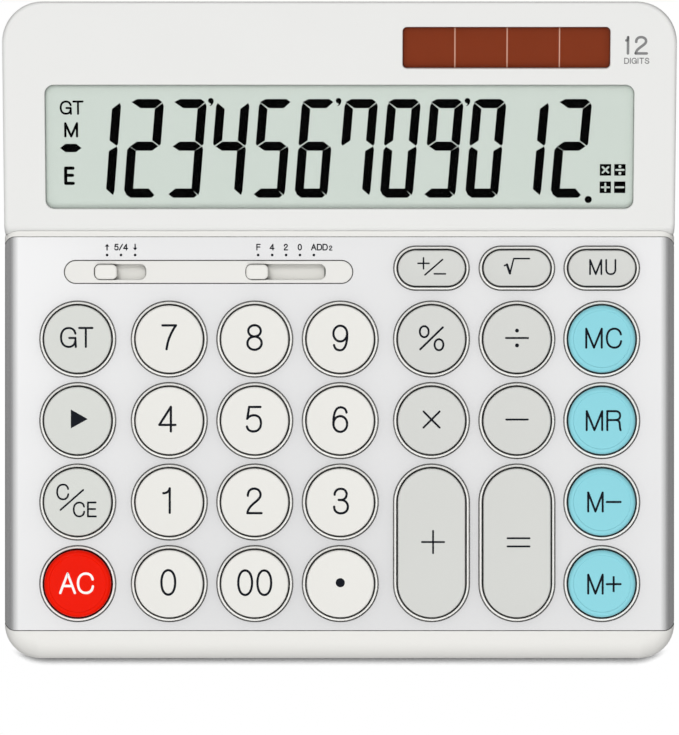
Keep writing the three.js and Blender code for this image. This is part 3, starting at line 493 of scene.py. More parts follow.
def table_look():
    """A matt table, which the camera sees as plain white with a painted shadow close to the front lip.
    """
    nodes = Nodes("white_table")
    tone = nodes.remap(nodes.add("TexNoise", {"Scale": 30.0, "Detail": 3.0}), 0, 1, 0.36, 0.4)
    # Painted shade in reflections: glossy rays see the table darker, which darkens the panel's bent
    # sides.
    painted_reflection_shade = nodes.maths("MULTIPLY", nodes.ray("Glossy"), -0.2)
    nodes.surface({"Base Color": nodes.maths("ADD", tone, painted_reflection_shade), "Roughness": 0.9})
    # Painted shadow: where the table is shut in just before the front lip, the white that the camera
    # sees is dimmed.
    depth = nodes.add("SeparateXYZ", {0: nodes.place()}, "Y")
    before = nodes.remap(depth, -0.0905, -0.0925, 0, 1)
    contact = nodes.remap(nodes.openness(0.003), 0.81, 0.94, 0.89, 0.0)
    white_less_painted_shadow = nodes.maths("SUBTRACT", 1.0, nodes.maths("MULTIPLY", before, contact))
    seen = nodes.add("Emission", {"Color": (1, 1, 1, 1), "Strength": white_less_painted_shadow})
    return nodes.mix(nodes.ray("Camera"), nodes.shader.outputs[0], seen)


def add_world():
    world = bpy.data.worlds.new("studio_tent")
    world.use_nodes = True
    world.node_tree.nodes.clear()
    nodes = Nodes("", world.node_tree)
    height = nodes.add("SeparateXYZ", {0: nodes.add("TexCoord", out="Generated")}, "Z")
    sky = nodes.add("Background", {"Color": nodes.greys(height, SKY), "Strength": 1.0})
    nodes.node("ShaderNodeOutputWorld", {"Surface": sky})
    bpy.context.scene.world = world


def add_light(name, place, power, width):
    """A round lamp that faces the object and shows neither to the camera nor in reflections."""
    data = bpy.data.lights.new(name, "AREA")
    data.energy = power
    data.shape = "DISK"
    data.size = width
    light = put(name, data)
    light.location = place
    light.rotation_mode = "QUATERNION"
    light.rotation_quaternion = (-Vector(place)).to_track_quat("-Z", "Y")
    light.visible_camera = False
    light.visible_glossy = False


floor = make(block(-3000, 3000, -3000, 3000, -20, -0.05), "floor", WORLD)
floor.data.materials.append(table_look())
add_world()
add_light("key_light", (-0.6, 0.85, 2.25), 19.5, 0.8)
add_light("front_fill", (0.1, -1.85, 1.15), 18, 1.2)
print("stage ready")

# %% [markdown]
# The upper housing is one moulded shell of off-white ABS: a rolled front lip, a low ring round every
# key, the raised strip of the two switches, and behind them the trough that the head's barrel turns in.
# Its rolled edge is lofted along the body's outline, with the roll growing from the sides to the lip.

# %% Upper housing: rolled skin
BODY_HALF = 95
DECK_FRONT, DECK_REAR = -8.15, 177.4
FRONT_CORNER, REAR_CORNER = 9.8, 11.4
PARTING_W = -9
PLATE_W = -2.6
WALL = 2
LIP_DEPTH, LIP_DROP = 8.15, 8
SIDE_ROLL = 4.5
TROUGH = 9.06
TROUGH_FRONT, TROUGH_BACK = 5.2, 6.3


def body_plan(inset):
    """The body's outline drawn in, with its outward direction."""
    outline = rounded(-BODY_HALF, BODY_HALF, DECK_FRONT, DECK_REAR, FRONT_CORNER, REAR_CORNER)
    return [(x - nx * inset, u - nu * inset, nx, nu) for x, u, nx, nu in outline]


def rolled_rings(wall, top, bottom, steps=14):
    """Rings up the wall and over the rolled edge to the flat top."""
    rings = [[(*point[:2], bottom) for point in body_plan(wall)]]
    for turn in (0, *quarter(steps)):
        points = []
        for x, u, nx, nu in body_plan(0):
            share = max(0.0, -nu) ** 2
            reach = SIDE_ROLL + (LIP_DEPTH - SIDE_ROLL) * share - wall
            drop = SIDE_ROLL + (LIP_DROP - SIDE_ROLL) * share + top
            inset = wall + reach * (1 - math.cos(turn))
            points.append((x - nx * inset, u - nu * inset, top - drop * (1 - math.sin(turn))))
        rings.append(points)
    return rings


def rear_room(inset, bottom, top):
    """The body's outline behind the hinge, raised as a block."""
    half = BODY_HALF - inset
    behind = [point for point in body_plan(inset) if point[1] > HINGE_U]
    return make(run([(-half, HINGE_U - 1), (half, HINGE_U - 1), *behind], bottom, top))


def head_room(extra, half):
    """What the head needs over the base: its profile in (u, w), run across."""
    radius = TROUGH + extra
    front = 180 - math.degrees(math.asin(TROUGH_FRONT / TROUGH))
    rear = 360 + math.degrees(math.asin(-(TROUGH_BACK + extra) / radius) + HEAD_LEAN)
    curve = arc(HINGE_U, HINGE_W, radius, front, rear, 40)
    end = (curve[-1][0] + 100 * math.cos(HEAD_LEAN), curve[-1][1] + 100 * math.sin(HEAD_LEAN))
    return make(run([*curve, end, (end[0], 60), (curve[0][0], 60)], -half, half, 0))


def upper_skin():
    bottom = [(*point[:2], PARTING_W) for point in body_plan(0.25)]
    skin = make(loft([bottom, *rolled_rings(0, 0, PARTING_W + 0.25)]))
    combine(skin, [rear_room(0, -2.0, 16)], "UNION")
    hollow = make(loft(rolled_rings(WALL, PLATE_W, PARTING_W - 2)))
    rear_hollow = combine(rear_room(WALL, -12, 18), [head_room(WALL, 100)])
    return combine(skin, [hollow, rear_hollow])


upper = upper_skin()
print("skin", len(upper.data.polygons))

# %% [markdown]
# The silver panel lies in a shallow step of the shell, so the shell is cut back under it, also round
# both sides where the panel wraps over. Each key passes through its own hole, and the trough for the
# head's barrel is a bowl behind the narrow rear strip.

# %% Upper housing: trough, step and holes
PANEL_LENGTH = 111.5
PANEL_SIDE_BOTTOM = -5.5
RECESS_W = -0.6
STRIP_U = 101.58
STRIP = placed(-37.09, STRIP_U, 3.14, 37.6)
SLOTS = (placed(-62.15, STRIP_U, 1.7, 5.65, 0.5), placed(-15.25, STRIP_U, 1.7, 9.6, 0.5))
HINGE_X = 61.6
KNUCKLE, KNUCKLE_HALF = 3.4, 4.3
BORE = 1.4


def liner():
    """The trough's wall."""
    keep = make(block(-100, 100, DECK_FRONT, HINGE_U - 1, -40, -1.6))
    combine(keep, [make(block(-100, 100, HINGE_U - 1.5, 200, -40, 30))], "UNION")
    within = make(run(body_plan(WALL + 0.1), -40, 14))
    return combine(head_room(1.6, 92.9), [within, keep], "INTERSECT")


def panel_step():
    """The room that the panel takes, round a core with the shell's rolled sides."""
    outline = rounded(-95.15, 95.15, -0.15, PANEL_LENGTH + 0.1, 3.15, 3.15)
    step = make(run(outline, PANEL_SIDE_BOTTOM - 0.1, 1))
    side = BODY_HALF + RECESS_W
    core = [(-side, -30), (side, -30)]
    for x, start in ((BODY_HALF - SIDE_ROLL, 0), (SIDE_ROLL - BODY_HALF, 90)):
        core += arc(x, -SIDE_ROLL, SIDE_ROLL + RECESS_W, start, start + 90, 14)
    return combine(step, [make(run(core, -20, 140, 1))])


def key_holes():
    cuts = [make(turned(place, ((0.85, -4), (0.85, 2)), 16)) for place in KEYS.values()]
    cuts += [make(turned(slot, ((0.3, -4), (0.3, 2)), 8)) for slot in SLOTS]
    return join("holes", cuts)


def knuckle(x):
    """An arm that rises from the trough, with an eye for the hinge pin."""
    eye = make(run(arc(HINGE_U, HINGE_W, KNUCKLE, 0, 351, 39), x - KNUCKLE_HALF, x + KNUCKLE_HALF, 0))
    front, rear = HINGE_U - KNUCKLE, HINGE_U + KNUCKLE
    arm = block(x - KNUCKLE_HALF, x + KNUCKLE_HALF, front, rear, HINGE_W - 10.2, HINGE_W)
    combine(eye, [make(arm)], "UNION")
    return combine(eye, [make(run(arc(HINGE_U, HINGE_W, BORE, 0, 345, 23), x - 6, x + 6, 0))])


combine(upper, [liner()], "UNION")
combine(upper, [panel_step(), key_holes(), head_room(0, 100)])
combine(upper, [knuckle(-HINGE_X), knuckle(HINGE_X)], "UNION")
cable_way = make(block(-12.3, 12.3, 108, 116.5, -9.3, -8.3))
shade(combine(upper, [cable_way]))
print("shell", len(upper.data.polygons))

# %% [markdown]
# Every round key stands in the same raised ring, so one ring is repeated on the keys' centres by
# geometry nodes. The long keys have rings drawn out to their shape, and the rings are one piece.

# %% Upper housing: rings and switch strip
RING_PROFILE = ((0.46, -2.6), (0.46, 0.12), (0.49, 0.2), (0.56, 0.24), (0.64, 0.25), (0.9, 0.25),
                (0.97, 0.24), (1.01, 0.2), (1.03, 0.12), (1.03, -1.6))


def collar(place):
    """The raised ring round one key, closed on itself."""
    return make(turned(place, (*RING_PROFILE, RING_PROFILE[0]), 24, False, False))


def repeated(name, points, item, look):
    """A plain mesh of an item repeated on points by geometry nodes. The item is used up."""
    inputs = {"Points": "Geometry", "Item": "Object", "Look": "Material"}
    nodes, given, end = new_group("repeat_on_points", "Geometry", inputs, {"Geometry": "Geometry"})
    one = nodes.node("GeometryNodeObjectInfo", {"Object": given["Item"]}).outputs["Geometry"]
    spread = nodes.node("GeometryNodeInstanceOnPoints", {"Points": given["Points"], "Instance": one})
    solid = nodes.node("GeometryNodeRealizeInstances", {"Geometry": spread.outputs[0]})
    sockets = {"Geometry": solid.outputs[0], "Material": given["Look"]}
    dressed = nodes.node("GeometryNodeSetMaterial", sockets)
    nodes.wire(end, {"Geometry": dressed.outputs[0]})
    made = make((points, []), name)
    change = made.modifiers.new("repeat", "NODES")
    change.node_group = nodes.tree
    for socket in nodes.tree.interface.items_tree:
        if socket.name in ("Item", "Look"):
            change[socket.identifier] = item if socket.name == "Item" else look
    settle(made)
    bpy.data.objects.remove(item)
    return made


def switch_strip():
    strip = make(turned(STRIP, ((0, -1.6), (0, 0.05), (-0.06, 0.18), (-0.2, 0.25)), 24))
    lip = ((0, -3), (0, 0.0), (0.1, 0.16), (0.35, 0.26))
    return combine(strip, [make(turned(slot, lip, 8)) for slot in SLOTS])


rounds = [place for place in KEYS.values() if not place["sx"] and not place["su"]]
longs = [place for place in KEYS.values() if place["sx"] or place["su"]]
centres = [(place["x"], place["u"], 0) for place in rounds]
round_rings = repeated("round_rings", centres, collar(placed(0, 0)), RING_PAINTED_LIGHT_LOOK)
rings = join("rings", [round_rings, *map(collar, longs)])
finish_piece(shade(rings, 40), "base", None, "housing", RING_PAINTED_LIGHT_LOOK)
upper = join("upper_shell", [upper, shade(switch_strip(), 40)])
finish_piece(upper, "base", "upper_housing", "housing", HOUSING_LOOK)
print("upper shell", len(upper.data.polygons))

# %% [markdown]
# The panel is thin silver-painted sheet, punched for the keys and bent down over both sides. It is
# drawn here as the flat blank, as (s, u) with s along the sheet, and bent afterwards, so that its
# rolled rim and its corners follow the bend as a pressed sheet's do.

# %% Deck panel: blank and bend
PANEL_THICKNESS = 0.5
PANEL_CORNER = 3
BEND_START = BODY_HALF - SIDE_ROLL
BEND_LENGTH = SIDE_ROLL * math.pi / 2
BLANK_HALF = BEND_START + BEND_LENGTH - PANEL_SIDE_BOTTOM - SIDE_ROLL
RIM = ((0.13, 0.0), (0.05, 0.02), (0.0, 0.11), (0.0, PANEL_THICKNESS))


def bent(s, u, depth):
    """A point of the blank, at a depth in the sheet, after the bend."""
    over = abs(s) - BEND_START
    if over <= 0:
        return (s, u, -depth)
    turn = min(over / SIDE_ROLL, math.pi / 2)
    radius = SIDE_ROLL - depth
    x = BEND_START + radius * math.sin(turn)
    w = -SIDE_ROLL + radius * math.cos(turn) - max(0.0, over - BEND_LENGTH)
    return (math.copysign(x, s), u, w)


def corner_inset(s):
    """How far the panel's rounded corner draws its end in at a place across the sheet."""
    reach = max(0.0, bent(s, 0, 0)[0] - (BODY_HALF - PANEL_CORNER))
    return PANEL_CORNER - math.sqrt(max(0.0, PANEL_CORNER**2 - reach**2))


def bend_stations(count=26):
    bend = [BEND_START + BEND_LENGTH * (i / count) for i in range(count + 1)]
    return [*bend, (bend[-1] + BLANK_HALF) / 2, BLANK_HALF]


def blank_loop():
    """The blank's outline, counter-clockwise, from the left end of its front edge."""
    front = [(s, corner_inset(s)) for s in bend_stations()]
    right = front + [(s, PANEL_LENGTH - u) for s, u in reversed(front)]
    return right + [(-s, u) for s, u in reversed(right)]


def inward(loop):
    """The direction into a closed outline at each of its points."""
    out = []
    for before, here, after in zip([loop[-1], *loop], loop, [*loop[1:], loop[0]]):
        one = (Vector(here) - Vector(before)).normalized()
        two = (Vector(after) - Vector(here)).normalized()
        mean = Vector((-one.y - two.y, one.x + two.x)).normalized()
        out.append(mean / max(0.5, mean.dot(Vector((-one.y, one.x)))))
    return out


print("blank", round(2 * BLANK_HALF, 2), "by", PANEL_LENGTH)

# %% [markdown]
# The sheet's skin is put together from its rims, its bent sides, and a flat face and back with a hole
# for each key. Filled faces are right here, because a cut through so thin a sheet leaves slivers.

# %% Deck panel: skin
PANEL_HOLE = 1.38
STRIP_HOLE = 0.2


def sheet_face(loops, w):
    """A flat face at a height inside the first outline and outside the others."""
    work = bmesh.new()
    edges = []
    for points in loops:
        seen = []
        for point in points:
            if not seen or (Vector((*point[:2], w)) - seen[-1].co).length > 1e-5:
                seen.append(work.verts.new((*point[:2], w)))
        if (seen[0].co - seen[-1].co).length < 1e-5:
            work.verts.remove(seen.pop())
        edges += [work.edges.new((seen[i - 1], seen[i])) for i in range(len(seen))]
    bmesh.ops.triangle_fill(work, edges=edges, use_beauty=True)
    return put_work("sheet", work)


def bend_skin(level):
    """The bent parts of the panel's face or back, as strips between its two ends."""
    count = len(bend_stations())
    faces = []
    for start in (0, 2 * count):
        end = start + 2 * count - 1
        faces += [(start + i, start + i + 1, end - i - 1, end - i) for i in range(count - 1)]
    return level, faces


def panel():
    loop = blank_loop()
    ways = inward(loop)
    rims = [[bent(p[0] + n.x * inset, p[1] + n.y * inset, depth) for p, n in zip(loop, ways)]
            for inset, depth in RIM]
    places = [(place, PANEL_HOLE) for place in KEYS.values()] + [(STRIP, STRIP_HOLE)]
    holes = [[ring(place, margin + inset, -depth, 24) for inset, depth in RIM]
             for place, margin in places]
    parts = [make(loft(one, False, False)) for one in (rims[::-1], *holes)]
    count = len(bend_stations())
    for level in (0, len(RIM) - 1):
        parts.append(make(bend_skin(rims[level])))
        corners = [rims[level][i] for i in (0, 2 * count - 1, 2 * count, 4 * count - 1)]
        parts.append(sheet_face([corners, *(one[level] for one in holes)], -RIM[level][1]))
    made = join("deck_sheet", parts)
    work = bmesh.new()
    work.from_mesh(made.data)
    bmesh.ops.remove_doubles(work, verts=work.verts, dist=1e-4)
    bmesh.ops.recalc_face_normals(work, faces=work.faces)
    print("panel open edges", sum(1 for edge in work.edges if len(edge.link_faces) != 2))
    work.to_mesh(made.data)
    work.free()
    return shade(made)


sheet = panel()

# %% [markdown]
# Silver paint is fine metal flake under a thin clear lacquer, with the press's faint waviness below.
# It mirrors the tent. Its colour also carries painted light, lightest at the left side and towards the
# rear, and painted shade close to each raised ring.

# %% Deck panel: paint
def silver_paint():
    nodes = Nodes("silver_paint")
    split = nodes.node("ShaderNodeSeparateXYZ", {0: nodes.place()}).outputs
    flake = nodes.noise(5200.0)
    value = nodes.remap(nodes.noise(14.0), 0, 1, 0.98, 1.0)
    # Painted shade: the paint is darker where a raised ring shuts it in.
    value = nodes.maths("MULTIPLY", value, nodes.remap(nodes.openness(0.009), 0.45, 0.965, 0.45, 1.0))
    # Painted light: slow changes of brightness across and along the panel.
    painted_light_slopes = (
        ("X", -0.095, 0.095, (1.0, 0.915, 0.9, 0.91, 0.95)),
        ("Y", -0.086, 0.024, (0.925, 0.94, 0.96, 0.985, 1.0)),
    )
    for axis, start, end, levels in painted_light_slopes:
        stops = [(i / 4, level) for i, level in enumerate(levels)]
        slope = nodes.greys(nodes.remap(split[axis], start, end, 0, 1), stops, "EASE")
        value = nodes.maths("MULTIPLY", value, slope)
    return nodes.surface({
        "Base Color": nodes.tint(value, (0.955, 0.955, 0.96, 1)),
        "Metallic": 0.85,
        "Roughness": nodes.remap(flake, 0, 1, 0.2, 0.3),
        "Normal": nodes.bump(flake, 0.08, 0.00001),
    })


finish_piece(sheet, "base", "deck_panel", "panel", silver_paint())
print("panel", len(sheet.data.polygons))

# %% [markdown]
# The keys are hard moulded caps: a straight skirt with a flange that keeps it in, a rounded shoulder
# and a shallow dish for the finger. The memory keys and the clear key are glossy, with a broad rounded
# rim, a fine step inside it and a low crown.

# %% Keys: caps
FLANGE, FLANGE_TOP, FLANGE_BOTTOM = 1.2, -2.9, -4.1
KEY_TOP = 1.8
KEY_DISH = 0.4
SHOULDER = 0.42
KEY_RIM = 1.25
STEP_DEPTH = 0.16
CROWN = 0.1
KEY_LOOKS = (
    ("clear_key", CLEAR_LOOK, ("all_clear",)),
    ("memory_key", MEMORY_LOOK, ("memory_plus", "memory_minus", "memory_recall", "memory_clear")),
    ("edit_key", EDIT_LOOK, ("clear_entry", "backspace", "grand_total")),
    ("number_key", NUMBER_LOOK, "0 00 point 1 2 3 4 5 6 7 8 9".split()),
    ("function_key", FUNCTION_LOOK, KEYS),
)
GLOSSY = {*KEY_LOOKS[0][2], *KEY_LOOKS[1][2]}


def key_slot(name):
    """A key's material slot and its look."""
    return next((slot, look) for slot, look, names in KEY_LOOKS if name in names)


def face_level(name, distance):
    """Height of a cap's face at a distance from its centre line."""
    radius = KEYS[name]["r"]
    if name in GLOSSY:
        return KEY_TOP - STEP_DEPTH + CROWN * (1 - (distance / (radius - KEY_RIM)) ** 2)
    return KEY_TOP - KEY_DISH + KEY_DISH * min(1.0, distance / (radius - SHOULDER)) ** 2


def skirt(low, base, roll, steps):
    """A cap's profile from its flange up over its shoulder."""
    points = [(FLANGE, FLANGE_BOTTOM), (FLANGE, FLANGE_TOP), (0, FLANGE_TOP), (0, low), (0, base)]
    for turn in quarter(steps):
        points.append((roll * (math.cos(turn) - 1), base + (KEY_TOP - base) * math.sin(turn)))
    return points


def cap(name, place):
    radius = place["r"]
    if name in GLOSSY:
        profile = skirt(0.3, 0.7, KEY_RIM, 10)
        profile += [(-KEY_RIM - 0.12, KEY_TOP - 0.03), (-KEY_RIM - 0.28, KEY_TOP - STEP_DEPTH)]
        distances = [(radius - KEY_RIM - 0.4) * step / 9 for step in range(9, -1, -1)]
    else:
        profile = skirt(0.4, KEY_TOP - SHOULDER, SHOULDER, 8)
        distances = [(radius - SHOULDER) * step / 10 for step in range(9, -1, -1)]
    profile += [(distance - radius, face_level(name, distance)) for distance in distances]
    return shade(make(turned(place, profile, 20, True, False), "cap_" + name), 40)


for name, place in KEYS.items():
    finish_piece(cap(name, place), "key_" + name, "key_" + name, *key_slot(name))
print("caps", len(KEYS))

# %% [markdown]
# The head is two shells that meet at a seam: a cover with the display's and the solar cell's openings,
# and a back. Its lower edge is the barrel that turns in the trough, so the face rolls over into it.
# Both shells are cut from one block, so their outlines meet all round, as a moulded pair's do.

# %% Display head: block and seam
FACE = 7.4
BACK = 5.5
BARREL = 9
FACE_FILLET = 3.2
SEAM = 2.2
HEAD_WALL, FACE_WALL = 1.8, 1.5
WINDOW = placed(0, 18.4, 2.5, 80.6, 15.4)
SOLAR = placed(47, 46.975, 1.2, 28, 4.725)
DECK_TO_HEAD = HEAD.inverted() @ DECK
HINGE_TO_HEAD = Matrix.Rotation(-HEAD_LEAN, 4, "X")


def head_block(inset, face_inset):
    """The head's side profile in (s, t), back, face, rolled front edge and barrel, run across."""
    face, fillet = FACE - face_inset, FACE_FILLET - face_inset
    radius, back = BARREL - inset, inset - BACK
    roll_t = face - fillet
    roll_s = -math.sqrt((radius - fillet) ** 2 - roll_t**2)
    turn = math.degrees(math.atan2(roll_t, roll_s))
    back_turn = 360 + math.degrees(math.atan2(back, math.sqrt(radius**2 - back**2)))
    curve = arc(roll_s, roll_t, fillet, 90, turn, 10) + arc(0, 0, radius, turn, back_turn, 40)[1:]
    plan = make(run(body_plan(inset), -80, 80), matrix=DECK_TO_HEAD)
    return combine(make(run([(120, back), (120, face), *curve], -100, 100, 0)), [plan], "INTERSECT")


def opening_cut(place):
    """A cutter that leaves a softly rounded lip."""
    edge = ((0, 0.42), (0.06, 0.2), (0.2, 0.06), (0.45, -0.001))
    return make(turned(place, [(0, 1), *((margin, FACE - depth) for margin, depth in edge), (0.45, 9)]))


def barrel_notches():
    """Room for the two knuckles and the flat cable, at rest and tilted."""
    cuts = []
    for x, half, lift in ((-HINGE_X, 4.6, 3.1), (HINGE_X, 4.6, 3.1), (0, 13, 1.2)):
        low = make(block(x - half, x + half, -10, 0, -10, lift), matrix=HINGE_TO_HEAD)
        under = make(block(x - half, x + half, -10, 3.9, -10, 0), matrix=HINGE_TO_HEAD)
        eye = make(run(arc(0, 0, 3.9, 0, 350, 35), x - half, x + half, 0))
        cuts.append(combine(low, [under, eye], "UNION"))
    return combine(cuts[0], cuts[1:], "UNION")


def head_shells():
    outer = head_block(0, 0)
    bevel = outer.modifiers.new("edge", "BEVEL")
    bevel.width = 1.7
    bevel.segments = 7
    bevel.limit_method = "ANGLE"
    bevel.angle_limit = math.radians(50)
    settle(outer)
    hollow = head_block(HEAD_WALL, FACE_WALL)
    combine(hollow, [make(block(x - 9, x + 9, -10, 8, -10, SEAM)) for x in (-HINGE_X, HINGE_X)])
    combine(outer, [hollow, barrel_notches()])
    back = put("back_shell", outer.data.copy())
    combine(outer, [make(block(-110, 110, -20, 120, -20, SEAM + 0.05))])
    combine(back, [make(block(-110, 110, -20, 120, SEAM - 0.05, 20))])
    combine(outer, [opening_cut(WINDOW), opening_cut(SOLAR)])
    outer.name = "cover_shell"
    return shade(outer), shade(back)


cover, back = head_shells()
finish_piece(cover, "display_head", "display_cover", "head", HEAD_LOOK)
finish_piece(back, "display_head", "display_back", "head", HEAD_LOOK)
print("head", len(cover.data.polygons), len(back.data.polygons))

# %% [markdown]
# The display is a stack behind the cover: a clear lens let into the opening, and below it the liquid
# crystal glass on its holder. The lens lets the light through and only mirrors at its surface, which
# a mix of a clear and a glossy shader gives without noise.

# %% Display: lens, glass and holder
LENS_TOP, LENS_BOTTOM = 6.75, 5.95
LCD_TOP, LCD_BOTTOM = 5.85, 4.75


def clear_look(name, colour):
    """Thin clear plastic with a coat that stills its reflections, and painted shade near its frame."""
    nodes = Nodes(name)
    away = nodes.add("NewGeometry", out="Backfacing")
    # Painted shade: seen from the camera, the clear plastic darkens close to the walls of its frame.
    painted_frame_shade = nodes.remap(nodes.openness(0.004), 0.5, 0.99, 0.2, 1.0)
    unseen = nodes.maths("SUBTRACT", 1.0, nodes.ray("Camera"))
    kept = nodes.maths("MAXIMUM", painted_frame_shade, nodes.maths("MAXIMUM", unseen, away))
    through = nodes.add("BsdfTransparent", {"Color": nodes.tint(kept, colour)})
    dull = nodes.remap(nodes.noise(60.0), 0, 1, 0.032, 0.048)
    mirror = nodes.add("BsdfGlossy", {"Color": (1, 1, 1, 1), "Roughness": dull})
    shut = nodes.maths("MAXIMUM", nodes.ray("Shadow"), away)
    lit = nodes.maths("SUBTRACT", 0.08, shut, use_clamp=True)
    share = nodes.maths("MULTIPLY", nodes.add("Fresnel", {"IOR": 1.49}), lit)
    nodes.tree.nodes.remove(nodes.shader)
    return nodes.mix(share, through, mirror)


def plate(name, place, margin, bottom, top, edge=0.12):
    """A flat plate with the outline of an opening and finely broken edges."""
    levels = ((-edge, bottom), (0, bottom + edge), (0, top - edge), (-edge, top))
    return shade(make(turned(place, [(margin + grow, t) for grow, t in levels]), name))


LCD_LOOK = plastic("lcd_ground", srgb(208, 216, 210), 0.35, 0.05, 0.0, specular=0.2)
LENS_LOOK = clear_look("clear_lens", (0.985, 0.99, 0.985, 1))
HOLDER_LOOK = plastic("holder_plastic", srgb(228, 228, 224), 0.5)
lens = plate("clear_window", WINDOW, 1.5, LENS_BOTTOM, LENS_TOP)
finish_piece(lens, "display_head", "display_lens", "lens", LENS_LOOK)
lcd = plate("lcd_plate", WINDOW, 1.1, LCD_BOTTOM, LCD_TOP)
finish_piece(lcd, "display_head", "lcd_glass", "lcd", LCD_LOOK)
holder = make(turned(WINDOW, ((2.4, 4.05), (2.4, LCD_TOP))), "holder_frame")
combine(holder, [make(turned(WINDOW, ((1.4, 4.65), (1.4, 9))))])
finish_piece(shade(holder), "display_head", "lcd_holder", "holder", HOLDER_LOOK)
print("display stack ready")

# %% [markdown]
# The legends are printed in a light round-ended gothic. Each sign is drawn here as strokes on a field
# one unit high, straight or curved, and every stroke becomes a thin raised film with round ends, which
# is what a printed or laser-marked legend is. The film follows the face that it lies on.
#
# Strokes are written as text. A bar parts two strokes and a comma two steps of a stroke. A step is the
# next point, or two control points and the next point of a curve. The letter o starts an oval, with its
# centre, its two radii and how square it is.

# %% Lettering: signs as strokes
def numbers(text):
    return [tuple(map(float, step.split())) for step in text.split(",")]


def oval(cx, cy, rx, ry, square=0.56):
    kx, ky = rx * square, ry * square
    return [
        (cx, cy + ry),
        (cx + kx, cy + ry, cx + rx, cy + ky, cx + rx, cy),
        (cx + rx, cy - ky, cx + kx, cy - ry, cx, cy - ry),
        (cx - kx, cy - ry, cx - rx, cy - ky, cx - rx, cy),
        (cx - rx, cy + ky, cx - kx, cy + ry, cx, cy + ry),
    ]


def strokes_of(text):
    strokes = text.split("|")
    return [oval(*numbers(one[1:])[0]) if one[0] == "o" else numbers(one) for one in strokes]


def half_turned(stroke, width):
    """The same stroke turned upside down, as a nine is a turned six."""
    steps = [zip(step[0::2], step[1::2]) for step in stroke]
    return [tuple(v for x, y in step for v in (width - x, 1 - y)) for step in steps]


BOW = ".8 .7,.76 .9 .62 1 .43 1,.16 1 0 .8 0 .5,0 .2 .16 0 .43 0,"
SIGN_TEXTS = {
    "0": (0.58, "o.29 .5 .28 .5 .6"),
    "1": (0.34, ".3 0,.3 1|.04 .8,.16 .8 .27 .85 .3 1"),
    "2": (0.6, ".04 .71,.04 .89 .14 1 .3 1,.46 1 .56 .89 .56 .74,.56 .5 .06 .36 .02 0|.02 0,.6 0"),
    "3": (0.58, ".03 .76,.03 .91 .14 1 .28 1,.43 1 .52 .9 .52 .78,.52 .64 .42 .545 .28 .545,.2 .545"
          "|.28 .545,.46 .545 .57 .43 .57 .27,.57 .1 .45 0 .28 0,.12 0 .01 .1 .01 .27"),
    "4": (0.7, ".5 0,.5 1|.5 1,0 .265|0 .265,.7 .265"),
    "5": (0.58, ".55 1,.09 1|.09 1,.01 .52|.01 .52,.08 .62 .18 .66 .29 .66,.47 .66 .57 .53 .57 .34"
          ",.57 .13 .45 0 .27 0,.12 0 .02 .07 0 .2"),
    "6": (0.6, "o.3 .32 .28 .32|.555 .79,.53 .93 .44 1 .31 1,.1 1 .02 .72 .02 .38,.02 .3"),
    "7": (0.62, "0 1,.62 1|.62 1,.4 .72 .24 .38 .19 0"),
    "8": (0.58, "o.29 .77 .255 .23|o.29 .27 .29 .27"),
    "A": (0.8, "0 0,.4 1|.4 1,.8 0|.14 .36,.66 .36"),
    "C": (0.82, BOW + ".64 0 .78 .12 .81 .34"),
    "D": (0.76, "0 1,0 0|0 1,.34 1,.62 1 .76 .82 .76 .5,.76 .18 .62 0 .34 0,0 0"),
    "E": (0.62, "0 0,0 1|0 1,.6 1|0 .53,.56 .53|0 0,.62 0"),
    "F": (0.58, "0 0,0 1|0 1,.58 1|0 .52,.52 .52"),
    "G": (0.82, BOW + ".62 0 .77 .12 .8 .32|.8 .32,.8 .47|.8 .47,.46 .47|.8 .32,.82 0"),
    "I": (0.0, "0 0,0 1"),
    "M": (0.88, "0 0,0 1|0 1,.44 0|.44 0,.88 1|.88 1,.88 0"),
    "R": (0.76, "0 0,0 1|0 1,.46 1,.65 1 .73 .9 .73 .77,.73 .62 .64 .53 .47 .53,0 .53"
          "|.47 .53,.64 .53 .7 .45 .71 .3,.72 .15 .72 .06 .76 0"),
    "S": (0.7, ".65 .77,.62 .92 .5 1 .34 1,.16 1 .04 .9 .04 .75,.04 .6 .16 .56 .35 .51"
          ",.56 .46 .7 .4 .7 .25,.7 .09 .56 0 .36 0,.16 0 .02 .09 0 .26"),
    "T": (0.74, "0 1,.74 1|.37 1,.37 0"),
    "U": (0.72, "0 1,0 .35,0 .12 .13 0 .36 0,.59 0 .72 .12 .72 .35,.72 1"),
    "/": (0.56, "0 0,.56 1"),
    "+": (1.0, "0 .5,1 .5|.5 0,.5 1"),
    "-": (1.0, "0 .5,1 .5"),
    "x": (1.0, "0 0,1 1|0 1,1 0"),
}
SIGNS = {sign: (width, strokes_of(text)) for sign, (width, text) in SIGN_TEXTS.items()}
SIGNS["9"] = (0.6, [half_turned(stroke, 0.6) for stroke in SIGNS["6"][1]])
print("signs", len(SIGNS))

# %% [markdown]
# A stroke's centre line is sampled along its curves, and a flat film is laid along it, narrowed to a
# round end at both ends. Corners are two strokes whose round ends meet, so no corner grows a spike.

# %% Lettering: strokes as films
LINE_STEPS = 4
CURVE_STEPS = 9
END_TURNS = (20, 40, 60, 80)


def sampled(stroke):
    """Points along a stroke of lines and cubic curves."""
    points = [Vector(stroke[0])]
    for step in stroke[1:]:
        ends = [points[-1], *(Vector(step[i:i + 2]) for i in range(0, len(step), 2))]
        count = LINE_STEPS if len(ends) == 2 else CURVE_STEPS
        for i in range(1, count + 1):
            line = ends
            while len(line) > 1:
                line = [a.lerp(b, i / count) for a, b in zip(line, line[1:])]
            points += line
    return points


